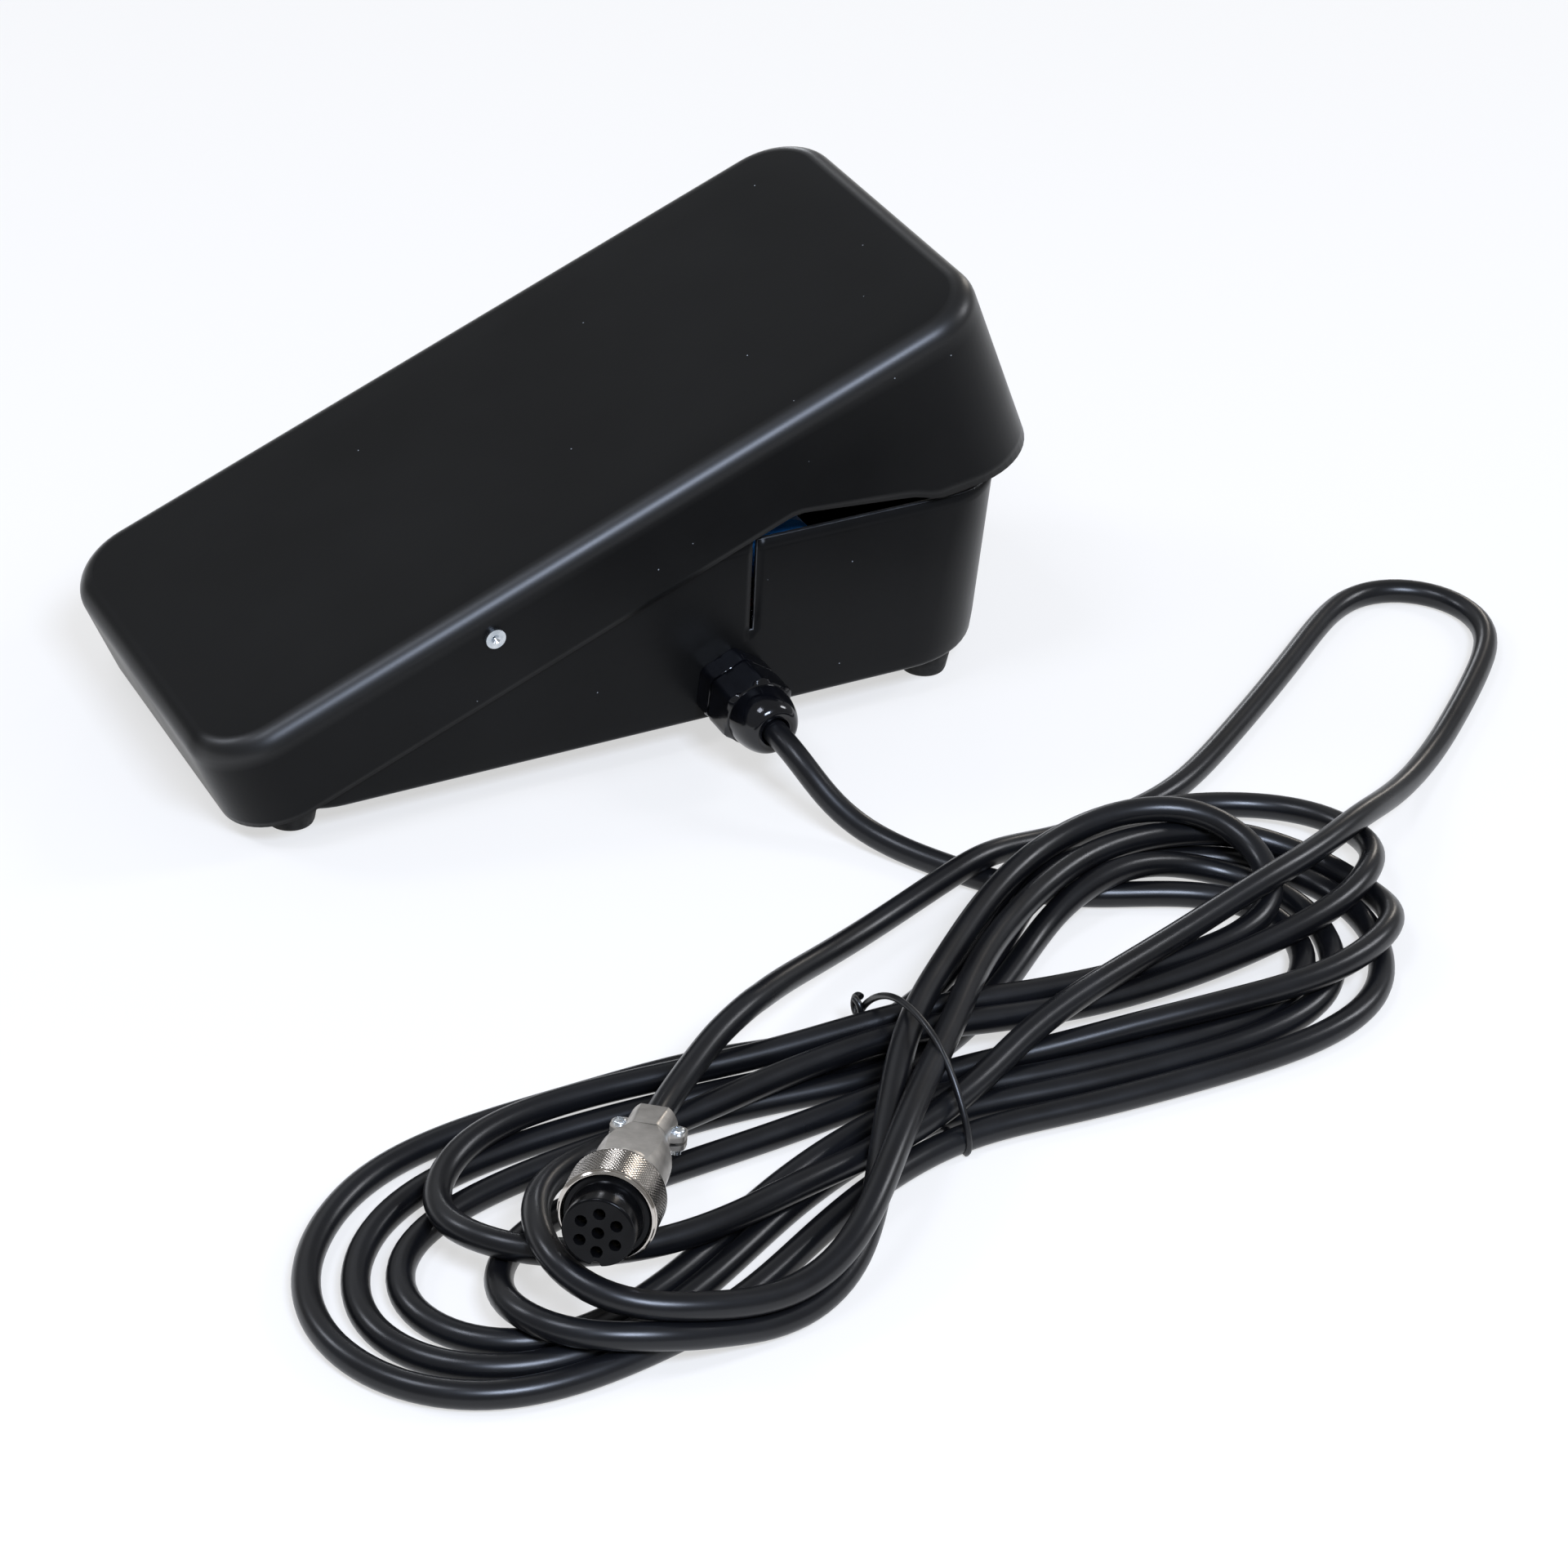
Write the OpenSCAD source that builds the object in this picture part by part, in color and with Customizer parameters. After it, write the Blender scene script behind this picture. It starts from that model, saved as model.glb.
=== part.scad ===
// Foot pedal for a TIG welding set: a tilting pressed-steel cover on a steel base pan, with the
// potentiometer drive, switch and return spring inside, and a cable with a round connector.
// X runs from heel to toe, Y across, Z up from the floor. The axle lies along Y.

/* [Pedal cover] */
// Length of the tread from the axle back to the heel edge
heel_l = 88; // [84:0.5:92]
// Length of the tread from the axle forward to the toe edge
toe_l = 172.5; // [171:0.5:190]
// Width of the pedal over its side walls
pedal_w = 125; // [118:1:140]
// Slope of the tread at rest, in degrees
tread_tilt = 22.4; // [21:0.2:24]
// Height of the tread above the axle, square to the tread
tread_rise = 11.2; // [10.8:0.1:14]
// Thickness of the pressed sheet
sheet_t = 1.5; // [1.2:0.1:2]
// Plan radius of the tread's corners
corner_r = 21; // [16:0.5:25]
// Radius rolled along the tread's edge
edge_r = 6.3; // [4:0.1:8]
// Depth of the side walls from the heel to the cut-out
skirt_d = 30.5; // [28:0.5:32]
// Depth of the toe wall at its foot
toe_d = 63; // [60:0.5:66]
// Outward lean of the toe wall, in degrees
toe_lean = 1.8; // [0:0.1:3]
// Plan radius at the foot of the toe wall
toe_foot_r = 28; // [24:0.5:32]
// Where the side cut-out starts, from the axle
cut_start = 94.5; // [92:0.5:98]
// Where the side cut-out ends, from the axle
cut_end = 129.5; // [125:0.5:132]
// Depth of the side wall at the end of the cut-out
cut_end_d = 48.5; // [46:0.5:50]
// Where the toe lip starts, from the axle
lip_start = 135; // [134:0.5:140]
// Depth of the side wall where the toe lip starts
lip_d = 53.5; // [52:0.5:55]
// Full travel of the pedal, in degrees
travel = 12; // [8:0.5:12]

/* [Base pan] */
// Room between the cover's side wall and the pan, each side
side_gap = 1; // [1:0.1:2]
// Length of the pan from the axle to its heel end
pan_heel = 68; // [64:0.5:70]
// Length of the pan from the axle to its toe end
pan_toe = 171; // [166:0.5:172]
// Plan radius of the pan's upper corners
pan_r = 24; // [20:0.5:28]
// Plan radius at the foot of the pan's toe corners
pan_toe_r = 33; // [28:0.5:36]
// Height of the toe panel's top edge above the floor
panel_z = 67.5; // [64:0.5:69]
// Room between the tread's underside and the side walls below it
wall_drop = 4; // [3.5:0.1:5]
// Place of the slit beside the toe panel, from the axle
slit_x = 82.5; // [80:0.5:84]
// Width of the slit
slit_w = 2; // [1.5:0.1:3]
// Height of the slit's lower end above the floor
slit_z = 37.5; // [36:0.5:44]

/* [Feet and screws] */
// Height of the rubber feet
foot_h = 10; // [9:0.5:12]
// Diameter of a foot where it meets the pan
foot_d = 17; // [15:0.5:19]
// Diameter of a foot at the floor
foot_tip_d = 14; // [12.5:0.5:15]
// Distance of the rear feet from the pan's heel end
foot_heel_in = 13; // [12:0.5:16]
// Distance of the front feet from the pan's toe end
foot_toe_in = 21; // [20:0.5:25]
// Distance of the feet from the pan's side walls
foot_side_in = 15; // [14:0.5:18]
// Diameter of the small screws
screw_d = 4; // [3.5:0.1:4.4]
// Room around a screw or pin in its hole, on the radius
hole_gap = 0.1; // [0.05:0.01:0.15]

/* [Axle] */
// Diameter of the axle
axle_d = 6; // [5:0.1:7]
// Height of the axle above the floor
axle_z = 56.8; // [56:0.2:59]
// How far each end of the axle stands out of the side wall
axle_proud = 1.2; // [0.5:0.1:2]
// Running clearance of a shaft in its bush, on the radius
run_gap = 0.05; // [0.02:0.01:0.09]
// Wall of an axle bush
bush_wall = 1.5; // [1.2:0.1:2]
// Length of a bush inside the pan's wall
bush_in = 2.5; // [2:0.1:4]
// Thickness of a bush's flange
bush_flange = 0.7; // [0.5:0.05:0.75]
// Thickness of a retaining clip
clip_t = 0.8; // [0.6:0.05:1]
// Working gap between parts that pass each other
pass_gap = 0.3; // [0.25:0.05:0.4]

/* [Return spring and stops] */
// Distance of the spring ahead of the axle
spring_x = 45; // [43:0.5:47]
// Outside diameter of the spring
spring_od = 20; // [19:0.5:22]
// Diameter of the spring's wire
wire_d = 2.2; // [1.8:0.1:2.4]
// Number of turns of the spring
spring_turns = 9; // [7:1:10]
// Height of the upper seat's face above the floor at rest
seat_z = 80; // [79:0.5:80.5]
// Thickness of the lower seat
seat_t = 2.5; // [2:0.1:4]
// Diameter of the seats
seat_d = 26; // [25:0.5:28]
// Length of the spigots that centre the spring
spigot_l = 5; // [4:0.1:6]
// Diameter of the stop posts
post_d = 9; // [8:0.1:9.5]
// Diameter of the rubber caps on the stop posts
cap_d = 12; // [11:0.1:12.4]
// Thickness of the rubber caps
cap_h = 7; // [5:0.1:8]
// Distance of the heel stop behind the axle
heel_stop = 45; // [43:0.5:47]

/* [Potentiometer drive] */
// Drop of the spindle's centre below the axle
spindle_drop = 6; // [5:0.5:8]
// Diameter of the potentiometer
pot_d = 22; // [20:0.5:24]
// Length of the potentiometer's body
pot_l = 20; // [16:0.5:22]
// Diameter of its spindle
spindle_d = 6; // [5.5:0.1:6.3]
// Outside diameter of its threaded bush
pot_bush_d = 9.4; // [9:0.1:10]
// Thickness of the bracket that carries it
bracket_t = 2; // [1.5:0.1:2.5]
// Distance of the bracket's plate from the centre line
bracket_y = 22; // [21.5:0.5:24]
// Thickness of the gear sector
sector_t = 4; // [3:0.2:5]
// Distance of the sector's near face from the centre line
sector_y = 12; // [11.5:0.1:12.4]
// Width of the pinion's teeth
pinion_w = 6; // [5:0.2:6.4]

/* [Switch] */
// Length of the switch body
switch_l = 27.8; // [27:0.2:29]
// Width of the switch body
switch_w = 10.3; // [9.8:0.1:11]
// Height of the switch body
switch_h = 16; // [15.5:0.1:16.5]
// Height of the switch's underside above the floor
switch_z = 22; // [20.5:0.5:23]
// Distance of the switch's heel end behind the axle
switch_heel = 38; // [37:0.5:39]
// Distance of the switch from the centre line
switch_y = 20; // [19:0.5:22]
// Distance of the lever's hinge from the switch's heel end
lever_in = 3; // [2.5:0.1:3.5]
// Length of the lever
lever_l = 24; // [23:0.2:25]
// Thickness of the lever
lever_t = 0.6; // [0.5:0.05:0.8]
// Distance of the tab's tip behind the axle
tab_x = 14; // [13.5:0.1:14.5]

/* [Gland and cable] */
// Place of the gland ahead of the axle
gland_x = 76; // [74:0.5:78]
// Height of the gland's centre above the floor
gland_z = 21.5; // [21.5:0.1:24]
// Size of the gland's hexagons across the flats
gland_af = 20.5; // [19.5:0.1:21]
// Size of the lock nut inside across the flats
lock_af = 19; // [18:0.1:19.4]
// Turn of the gland's hexagon, in degrees
gland_turn = -5; // [-15:1:15]
// Thickness of the gland body's hexagon
gland_flange = 7; // [5:0.1:9]
// Length of the nut's hexagon
gland_nut_l = 12; // [9:0.1:14]
// Length of the nut's dome
gland_dome_l = 10.5; // [8:0.1:12]
// Diameter of the gland's thread in the wall
gland_thread = 15.2; // [14.5:0.1:15.6]
// Diameter of the cable
cable_d = 7.3; // [7:0.05:7.4]

/* [Connector] */
// Diameter of the coupling ring
ring_d = 26; // [25:0.1:28]
// Length of the coupling ring
ring_l = 14; // [13:0.1:16]
// Wall of the coupling ring
ring_wall = 1.5; // [1.3:0.05:1.8]
// Thickness of the lip inside the ring's rear end
ring_lip = 3; // [2.5:0.1:3.5]
// Diameter of the shell's neck inside the lip
neck_d = 17; // [16:0.1:17.5]
// Diameter of the insulating insert
insert_d = 18; // [17:0.1:18.4]
// How far the insert stands out of the ring when the ring is drawn back
insert_out = 8.5; // [6:0.1:10]
// Number of contacts around the middle one
contact_count = 6; // [5:1:6]
// Outside diameter of a contact
contact_d = 2.4; // [2:0.1:2.6]
// Diameter of the shell's barrel
barrel_d = 19; // [18.5:0.1:20]
// Length of the connector from the ring's mouth to the cable clamp's end
plug_l = 56; // [54:0.5:60]

/* [Hidden] */
$fn = 64;

// Where the cover and pan lie along X, with the middle of the pedal's length over the origin
toe_foot_l = toe_l + toe_d * tan(toe_lean);
heel_reach = (heel_l - edge_r) * cos(tread_tilt) + (tread_rise - edge_r) * sin(tread_tilt) + edge_r;
toe_reach = toe_foot_l * cos(tread_tilt) + (toe_d - tread_rise) * sin(tread_tilt);
axle_x = (heel_reach - toe_reach) / 2;
tread_in = tread_rise - sheet_t;
block_d = toe_d + 6;
span = 400;

// The pan's width, floor and sloping wall tops
pan_w = pedal_w - 2 * sheet_t - 2 * side_gap;
pan_floor = foot_h + sheet_t;
wall_z = axle_z + (tread_in - wall_drop) / cos(tread_tilt);
wall_heel_z = wall_z - pan_heel * tan(tread_tilt);

// Small fasteners
screw_head_d = 2 * screw_d;
screw_head_h = 0.65 * screw_d;
nut_af = 1.75 * screw_d;
nut_h = 0.8 * screw_d;
foot_recess = 5;
foot_heel = pan_heel - foot_heel_in;
foot_toe = pan_toe - foot_toe_in;
foot_y = pan_w / 2 - foot_side_in;

// Axle, bushes and clips
bush_d = axle_d + 2 * run_gap + 2 * bush_wall;
bush_flange_d = bush_d + 2;
bush_inner_y = pan_w / 2 - sheet_t - bush_in;
groove_d = axle_d - 1;
clip_d = axle_d + 5;
clip_y = bush_inner_y - pass_gap - clip_t;

// Spring, seats and stop posts
spring_id = spring_od - 2 * wire_d;
spigot_d = spring_id - 2 * pass_gap;
spring_base_z = pan_floor + seat_t;
post_bore_d = post_d + 2 * hole_gap;
spigot_low_z = axle_z - spring_x * sin(travel)
    + (seat_z - spigot_l - axle_z) * cos(travel) - spigot_d / 2 * sin(travel);
press_cap_top = spigot_low_z - pass_gap;
heel_cap_low = axle_z + (tread_in - cap_d / 2 * sin(tread_tilt)) / cos(tread_tilt)
    - heel_stop * tan(tread_tilt) - cap_h;
post_screw_d = 5;
post_screw_l = 10;

// Gear drive: tooth module, teeth on the pinion, and teeth the sector would have on a full circle
gear_m = 1;
pinion_teeth = 12;
sector_teeth = 188;
centre_dist = gear_m * (pinion_teeth + sector_teeth) / 2;
spindle_x = sqrt(centre_dist * centre_dist - spindle_drop * spindle_drop);
spindle_z = axle_z - spindle_drop;
line_angle = -asin(spindle_drop / centre_dist);
tooth_top = 0.9 * gear_m;
tooth_root = 1.15 * gear_m;
tooth_half = (PI / 2 - 0.3) * gear_m / 2;
flank = 20;
sector_r = gear_m * sector_teeth / 2;
pinion_r = gear_m * pinion_teeth / 2;
sector_in_r = sector_r - 13;
sector_low = 5;
sector_high = travel + 5;
flange_t = 2;
flange_w = 24;
flange_l = 22;
flange_u = sector_r - 6;
stud_y = 3;
stud_pitch = 10;
stud_l = 8;
bush_l = 8.5;
pot_nut_af = 12.7;
pot_nut_h = 2.5;
bracket_half = 17;
bracket_foot = 24;
bracket_top = spindle_z + 14;
bracket_screw_dx = 9;
bracket_screw_y = -9;
hub_d = 11;
hub_l = 5;
spindle_in = 6;
terminal_dx = 6;
terminal_dz = -6;
pot_terminal_l = 6;
pot_back_y = -bracket_y - bracket_t - pot_l;
pinion_y = -sector_y - (pinion_w - sector_t) / 2;
grub_d = 3;

// Switch
switch_top = switch_z + switch_h;
lever_x = -switch_heel + lever_in;
lever_low = switch_top + 0.5;
lever_w = 4.4;
lever_y = switch_y + (switch_w - lever_w) / 2;
plunger_d = 2.6;
plunger_x = lever_x + 8;
plunger_l = 4;
tab_tip_z = lever_low + lever_t + pass_gap;
tab_t = 2;
tab_w = 8;
tab_y = switch_y + (switch_w - tab_w) / 2;
switch_hole_d = 3;
switch_hole_in = 2.9;
switch_hole_pitch = switch_l - 2 * switch_hole_in;
switch_plate_t = 1.5;
switch_foot = 16;
terminal_l = 5;

// Gland
gland_y = -pan_w / 2;
gland_in = 9;
gland_bore = cable_d + 1;
collar_d = 13.4;
collar_l = 9;
gland_out = gland_flange + gland_nut_l + gland_dome_l;
seal_flange = 3;
lock_t = 5;
cable_in = 20;
core_d = 1.6;

// Connector, lying on the hank with its mouth raised towards the near left
hank_h = 2 * cable_d;
plug_heading = -129;
plug_tilt = 12;
plug_mouth = [-117, -278.8];
ring_in_d = ring_d - 2 * ring_wall;
shoulder_d = ring_in_d - 2 * pass_gap;
shoulder_t = 2.2;
shoulder_z = -(ring_l - ring_lip - pass_gap);
cup_d = insert_d + 2;
cup_z = -2;
insert_back = -6;
contact_l = 7;
contact_pcd = 10;
barrel_z = -(ring_l + pass_gap);
barrel_l = 18;
cradle_w = 13;
cradle_h = 7;
clamp_t = 3;
clamp_l = 8;
clamp_screw_d = 2.5;
clamp_screw_dx = 7.4;
plug_z = hank_h + pass_gap + cradle_h * cos(plug_tilt) + plug_l * sin(plug_tilt);
plug_axis = [
    cos(plug_tilt) * cos(plug_heading),
    cos(plug_tilt) * sin(plug_heading),
    sin(plug_tilt)
];
plug_at = [plug_mouth[0], plug_mouth[1], plug_z];
cord_in = 14;

// Cable route on the floor, from the gland to the hank
lead_route = [
    [axle_x + gland_x, gland_y - gland_out, gland_z],
    [axle_x + gland_x + 0.6, gland_y - gland_out - 6.5, gland_z - 1.8],
    [30, -102, 16], [33, -109, 11.5], [37, -115.5, 7.5], [41, -121.5, 4.8], [45, -127.5, 3.7],
    [48, -134.5, 3.7], [51.5, -143, 3.7], [55, -152, 3.7], [60, -161, 3.7], [66, -169, 3.7]
];

// Cable route from the hank, round the large loop and back over the lead to the connector
tail_route = [
    [160, -183, 8], [176, -174, 6], [192, -164, 4.4], [207, -154.5, 3.7], [221, -145, 3.7],
    [235, -135, 3.7], [247, -124.5, 3.7], [258, -113, 3.7], [267, -101, 3.7], [273, -90, 3.7],
    [273.5, -80, 3.7], [268, -72, 3.7], [258, -68.5, 3.7], [246, -69, 3.7], [233, -73, 3.7],
    [219, -81, 3.7], [204, -91.5, 3.7], [189, -101.5, 3.7], [174, -111.5, 3.7], [158, -122, 3.7],
    [142, -133, 3.7], [127, -141.5, 3.7], [112, -145.5, 3.7], [97, -147.5, 3.9], [83, -149.5, 5.5],
    [70, -152, 8.5], [57, -156, 11.5], [44, -160, 11.8], [30, -164.5, 11.8], [16, -170, 12.4],
    [2, -176.5, 14], [-12, -184, 16.2], [-26, -192.5, 18.8], [-38, -200, 19.4], [-50, -207.5, 19.6],
    [-61, -216, 19.6], [-72, -225.5, 20],
    plug_at - plug_l * plug_axis,
    plug_at - (plug_l - cord_in) * plug_axis
];

// Outline of the tied hank on the floor, and its waist where the tie holds it
hank_outline = [
    [20, -207], [45, -184], [78, -162], [112, -153], [146, -155], [165, -176], [164, -205],
    [152, -238], [126, -259], [80, -264], [45, -261], [20, -257], [0, -256.5], [-18, -261],
    [-45, -286], [-75, -303], [-110, -304], [-150, -302], [-178, -284], [-187, -255],
    [-176, -222], [-148, -200], [-110, -196], [-60, -196], [-20, -201], [0, -204.5]
];
waist_low = -258;
waist_high = -202;
waist_l = 28;
waist_h = 3 * cable_d;
tie_d = 1.8;
tie_groove = tie_d + 2 * pass_gap;

// Point on a smooth curve through four neighbouring points
function curve(a, b, c, d, t) =
    b + t / 2 * (c - a + t * (2 * a - 5 * b + 4 * c - d + t * (3 * b - a - 3 * c + d)));

// Closed smooth outline through a list of points
function smooth_loop(p, steps) = [
    for (i = [0 : len(p) - 1], s = [0 : steps - 1])
        curve(p[(i + len(p) - 1) % len(p)], p[i], p[(i + 1) % len(p)], p[(i + 2) % len(p)], s / steps)
];

function unit(v) = v / norm(v);

// Direction of a route at one of its points
function heading(p, i) = unit(p[min(i + 1, len(p) - 1)] - p[max(i - 1, 0)]);

// One ring of a round cable, square to its route
function ring(at, dir, r, sides) =
    let (side = unit(cross(dir, abs(dir[2]) < 0.9 ? [0, 0, 1] : [1, 0, 0])), up = cross(side, dir))
    [for (k = [0 : sides - 1]) at + r * (side * cos(360 * k / sides) + up * sin(360 * k / sides))];

// Round solid swept along a route
module sweep(p, d, sides) {
    rings = len(p);
    points = [for (i = [0 : rings - 1]) each ring(p[i], heading(p, i), d / 2, sides)];
    walls = [
        for (i = [0 : rings - 2], k = [0 : sides - 1])
            let (here = i * sides, ahead = here + sides, next = (k + 1) % sides)
            each [[here + k, ahead + k, ahead + next], [here + k, ahead + next, here + next]]
    ];
    first = [for (k = [0 : sides - 1]) k];
    last = [for (k = [0 : sides - 1]) rings * sides - 1 - k];
    polyhedron(points, concat(walls, [first, last]), convexity = 10);
}

// Places measured from the axle along X
module at(x, y, z) translate([axle_x + x, y, z]) children();

// Frame of the sloping tread, with the axle at its origin
module on_tread() translate([axle_x, 0, axle_z]) rotate([0, -tread_tilt, 0]) children();

// Turns a shape's own Z to point along +Y or -Y
module to_far_side() rotate([-90, 0, 0]) children();
module to_near_side() rotate([90, 0, 0]) children();

module both_sides() {
    children();
    mirror([0, 1, 0]) children();
}

module plug_frame() translate(plug_at) rotate([0, 90 - plug_tilt, plug_heading]) children();

// Flat side profile given as X and Z, spread across the whole width
module side_profile(points) to_near_side() linear_extrude(span, center = true) polygon(points);

module hexagon(af, h) cylinder(d = af / cos(30), h = h, $fn = 6);

module pan_screw(d, l) {
    translate([0, 0, -l]) cylinder(d = d, h = l);
    difference() {
        cylinder(d = 2 * d, h = 0.65 * d);
        translate([0, 0, 0.3 * d]) hexagon(0.6 * d, d);
    }
}

// Half-thickness of a gear tooth at a radius, as an angle
function tooth_angle(pitch_r, r) = (tooth_half + (pitch_r - r) * tan(flank)) / r * 180 / PI;

function polar(r, a) = [r * cos(a), r * sin(a)];

// One tooth's four corners, centred on an angle
function tooth(pitch_r, a) =
    let (root = pitch_r - tooth_root, top = pitch_r + tooth_top)
    [
        polar(root, a - tooth_angle(pitch_r, root)), polar(top, a - tooth_angle(pitch_r, top)),
        polar(top, a + tooth_angle(pitch_r, top)), polar(root, a + tooth_angle(pitch_r, root))
    ];

// Rounded block that the cover is pressed to, or its hollow when set in by the sheet
module tread_block(inset) {
    edge = edge_r - inset;
    hull() for (side = [-1, 1]) {
        for (x = [-(heel_l - corner_r), toe_l - corner_r])
            translate([x, side * (pedal_w / 2 - corner_r), tread_rise - inset - edge])
                rotate_extrude($fn = 40)
                    translate([corner_r - inset - edge, 0])
                        circle(edge, $fn = 28);
        translate([-(heel_l - corner_r), side * (pedal_w / 2 - corner_r), tread_rise - block_d])
            cylinder(r = corner_r - inset, h = 1, $fn = 40);
        translate([toe_foot_l - toe_foot_r, side * (pedal_w / 2 - toe_foot_r), tread_rise - block_d])
            cylinder(r = toe_foot_r - inset, h = 1, $fn = 40);
    }
}

module pedal_cover() color("#1e2022") on_tread() {
    difference() {
        intersection() {
            tread_block(0);
            side_profile([
                [-span, span], [-span, tread_rise - skirt_d], [cut_start, tread_rise - skirt_d],
                [cut_end, tread_rise - cut_end_d], [lip_start, tread_rise - lip_d],
                [toe_foot_l, tread_rise - toe_d], [span, tread_rise - toe_d], [span, span]
            ]);
        }
        tread_block(sheet_t);
        to_near_side() cylinder(d = axle_d, h = span, center = true);
    }
    for (side = [-1, 1])
        translate([flange_u + side * stud_pitch / 2, stud_y, tread_in - stud_l])
            cylinder(d = screw_d, h = stud_l + sheet_t / 2);
}

module pivot_axle() color("#c9ccce") at(0, 0, axle_z) difference() {
    to_near_side() cylinder(d = axle_d, h = pedal_w + 2 * axle_proud, center = true);
    both_sides() {
        translate([0, clip_y, 0]) to_far_side() difference() {
            cylinder(d = axle_d + 1, h = clip_t);
            translate([0, 0, -1]) cylinder(d = groove_d, h = clip_t + 2);
        }
        translate([0, pedal_w / 2 + axle_proud - 1.2, 0]) to_far_side()
            cylinder(d1 = 0.5, d2 = 0.5 * axle_d, h = 1.3);
    }
}

module axle_clips() color("#b9bcbe") at(0, 0, axle_z) both_sides()
    translate([0, clip_y, 0]) to_far_side() difference() {
        cylinder(d = clip_d, h = clip_t);
        translate([0, 0, -1]) cylinder(d = groove_d, h = clip_t + 2);
        translate([0, -groove_d / 2 + 0.5, -1]) cube([clip_d, groove_d - 1, clip_t + 2]);
    }

module axle_bushes() color("#e8e6dc") at(0, 0, axle_z) both_sides()
    translate([0, bush_inner_y, 0]) to_far_side() difference() {
        union() {
            cylinder(d = bush_d, h = bush_in + sheet_t);
            translate([0, 0, bush_in + sheet_t]) cylinder(d = bush_flange_d, h = bush_flange);
        }
        translate([0, 0, -1]) cylinder(d = axle_d + 2 * run_gap, h = span);
    }

// Pressed tray that the pan is cut from, or its hollow when set in by the sheet
module pan_block(inset) {
    low = foot_h + inset;
    hull() for (side = [-1, 1]) {
        for (z = [low, panel_z + 1])
            at(pan_r - pan_heel, side * (pan_w / 2 - pan_r), z)
                cylinder(r = pan_r - inset, h = 1, $fn = 40);
        at(pan_toe - pan_toe_r, side * (pan_w / 2 - pan_toe_r), low)
            cylinder(r = pan_toe_r - inset, h = 1, $fn = 40);
        at(pan_toe - pan_r, side * (pan_w / 2 - pan_r), panel_z + 1)
            cylinder(r = pan_r - inset, h = 1, $fn = 40);
    }
}

module at_feet() for (x = [-foot_heel, foot_toe], side = [-1, 1]) at(x, side * foot_y, 0) children();

module at_bracket_screws() for (side = [-1, 1])
    at(spindle_x + side * bracket_screw_dx, bracket_screw_y, pan_floor + bracket_t) children();

module at_switch_foot()
    at(-switch_heel + switch_l / 2, switch_y + switch_w + switch_foot / 2 + 2, pan_floor + switch_plate_t)
        children();

module at_posts() for (x = [spring_x, -heel_stop]) at(x, 0, 0) children();

module base_pan() color("#1b1c1e") difference() {
    intersection() {
        pan_block(0);
        translate([axle_x, 0, 0]) side_profile([
            [-span, 0], [span, 0], [span, panel_z], [slit_x, panel_z], [0, wall_z],
            [-pan_heel, wall_heel_z], [-span, wall_heel_z]
        ]);
    }
    pan_block(sheet_t);
    both_sides() at(slit_x - slit_w / 2, pan_w / 2 - 2 * sheet_t, slit_z)
        cube([slit_w, 3 * sheet_t, span]);
    at(0, 0, axle_z) to_near_side() cylinder(d = bush_d, h = span, center = true);
    at(gland_x, gland_y, gland_z) to_near_side()
        cylinder(d = gland_thread + 2 * hole_gap, h = 6 * sheet_t, center = true);
    at_feet() cylinder(d = screw_d + 2 * hole_gap, h = pan_floor + 1);
    at_bracket_screws() translate([0, 0, -pan_floor]) cylinder(d = screw_d, h = pan_floor);
    at_switch_foot() translate([0, 0, -pan_floor]) cylinder(d = screw_d, h = pan_floor);
    at_posts() cylinder(d = post_screw_d + 2 * hole_gap, h = pan_floor + 1);
}

module rubber_feet() color("#161616") at_feet() difference() {
    rotate_extrude() polygon([
        [0, 0], [foot_tip_d / 2 - 1.2, 0], [foot_tip_d / 2 - 0.3, 0.4], [foot_tip_d / 2, 1.2],
        [foot_d / 2, foot_h], [0, foot_h]
    ]);
    translate([0, 0, -1]) cylinder(d = screw_head_d + 1, h = foot_recess + 1);
    cylinder(d = screw_d + 2 * hole_gap, h = foot_h + 1);
}

module foot_screws() color("#c9ccce") at_feet() translate([0, 0, foot_recess])
    mirror([0, 0, 1]) pan_screw(screw_d, pan_floor - foot_recess + nut_h + 1.5);

module foot_nuts() color("#c9ccce") at_feet() translate([0, 0, pan_floor]) difference() {
    hexagon(nut_af, nut_h);
    translate([0, 0, -1]) cylinder(d = screw_d + 2 * hole_gap, h = nut_h + 2);
}

module control_bracket() color("#a9abab") at(spindle_x, 0, 0) difference() {
    union() {
        translate([-bracket_half, -bracket_y - bracket_t, pan_floor])
            cube([2 * bracket_half, bracket_t, bracket_top - pan_floor]);
        translate([-bracket_half, -bracket_y - bracket_t, pan_floor])
            cube([2 * bracket_half, bracket_foot, bracket_t]);
    }
    translate([0, -bracket_y, spindle_z]) to_near_side()
        cylinder(d = pot_bush_d + 2 * hole_gap, h = 4 * bracket_t, center = true);
    for (side = [-1, 1])
        translate([side * bracket_screw_dx, bracket_screw_y, 0])
            cylinder(d = screw_d + 2 * hole_gap, h = pan_floor + 2 * bracket_t);
}

module bracket_screws() color("#c9ccce") {
    at_bracket_screws() pan_screw(screw_d, bracket_t + sheet_t + 2);
    at_switch_foot() pan_screw(screw_d, switch_plate_t + sheet_t + 2);
}

// Frame of the potentiometer's spindle, with Z along +Y and zero at the bracket's far face
module on_spindle() at(spindle_x, -bracket_y, spindle_z) to_far_side() children();

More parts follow.
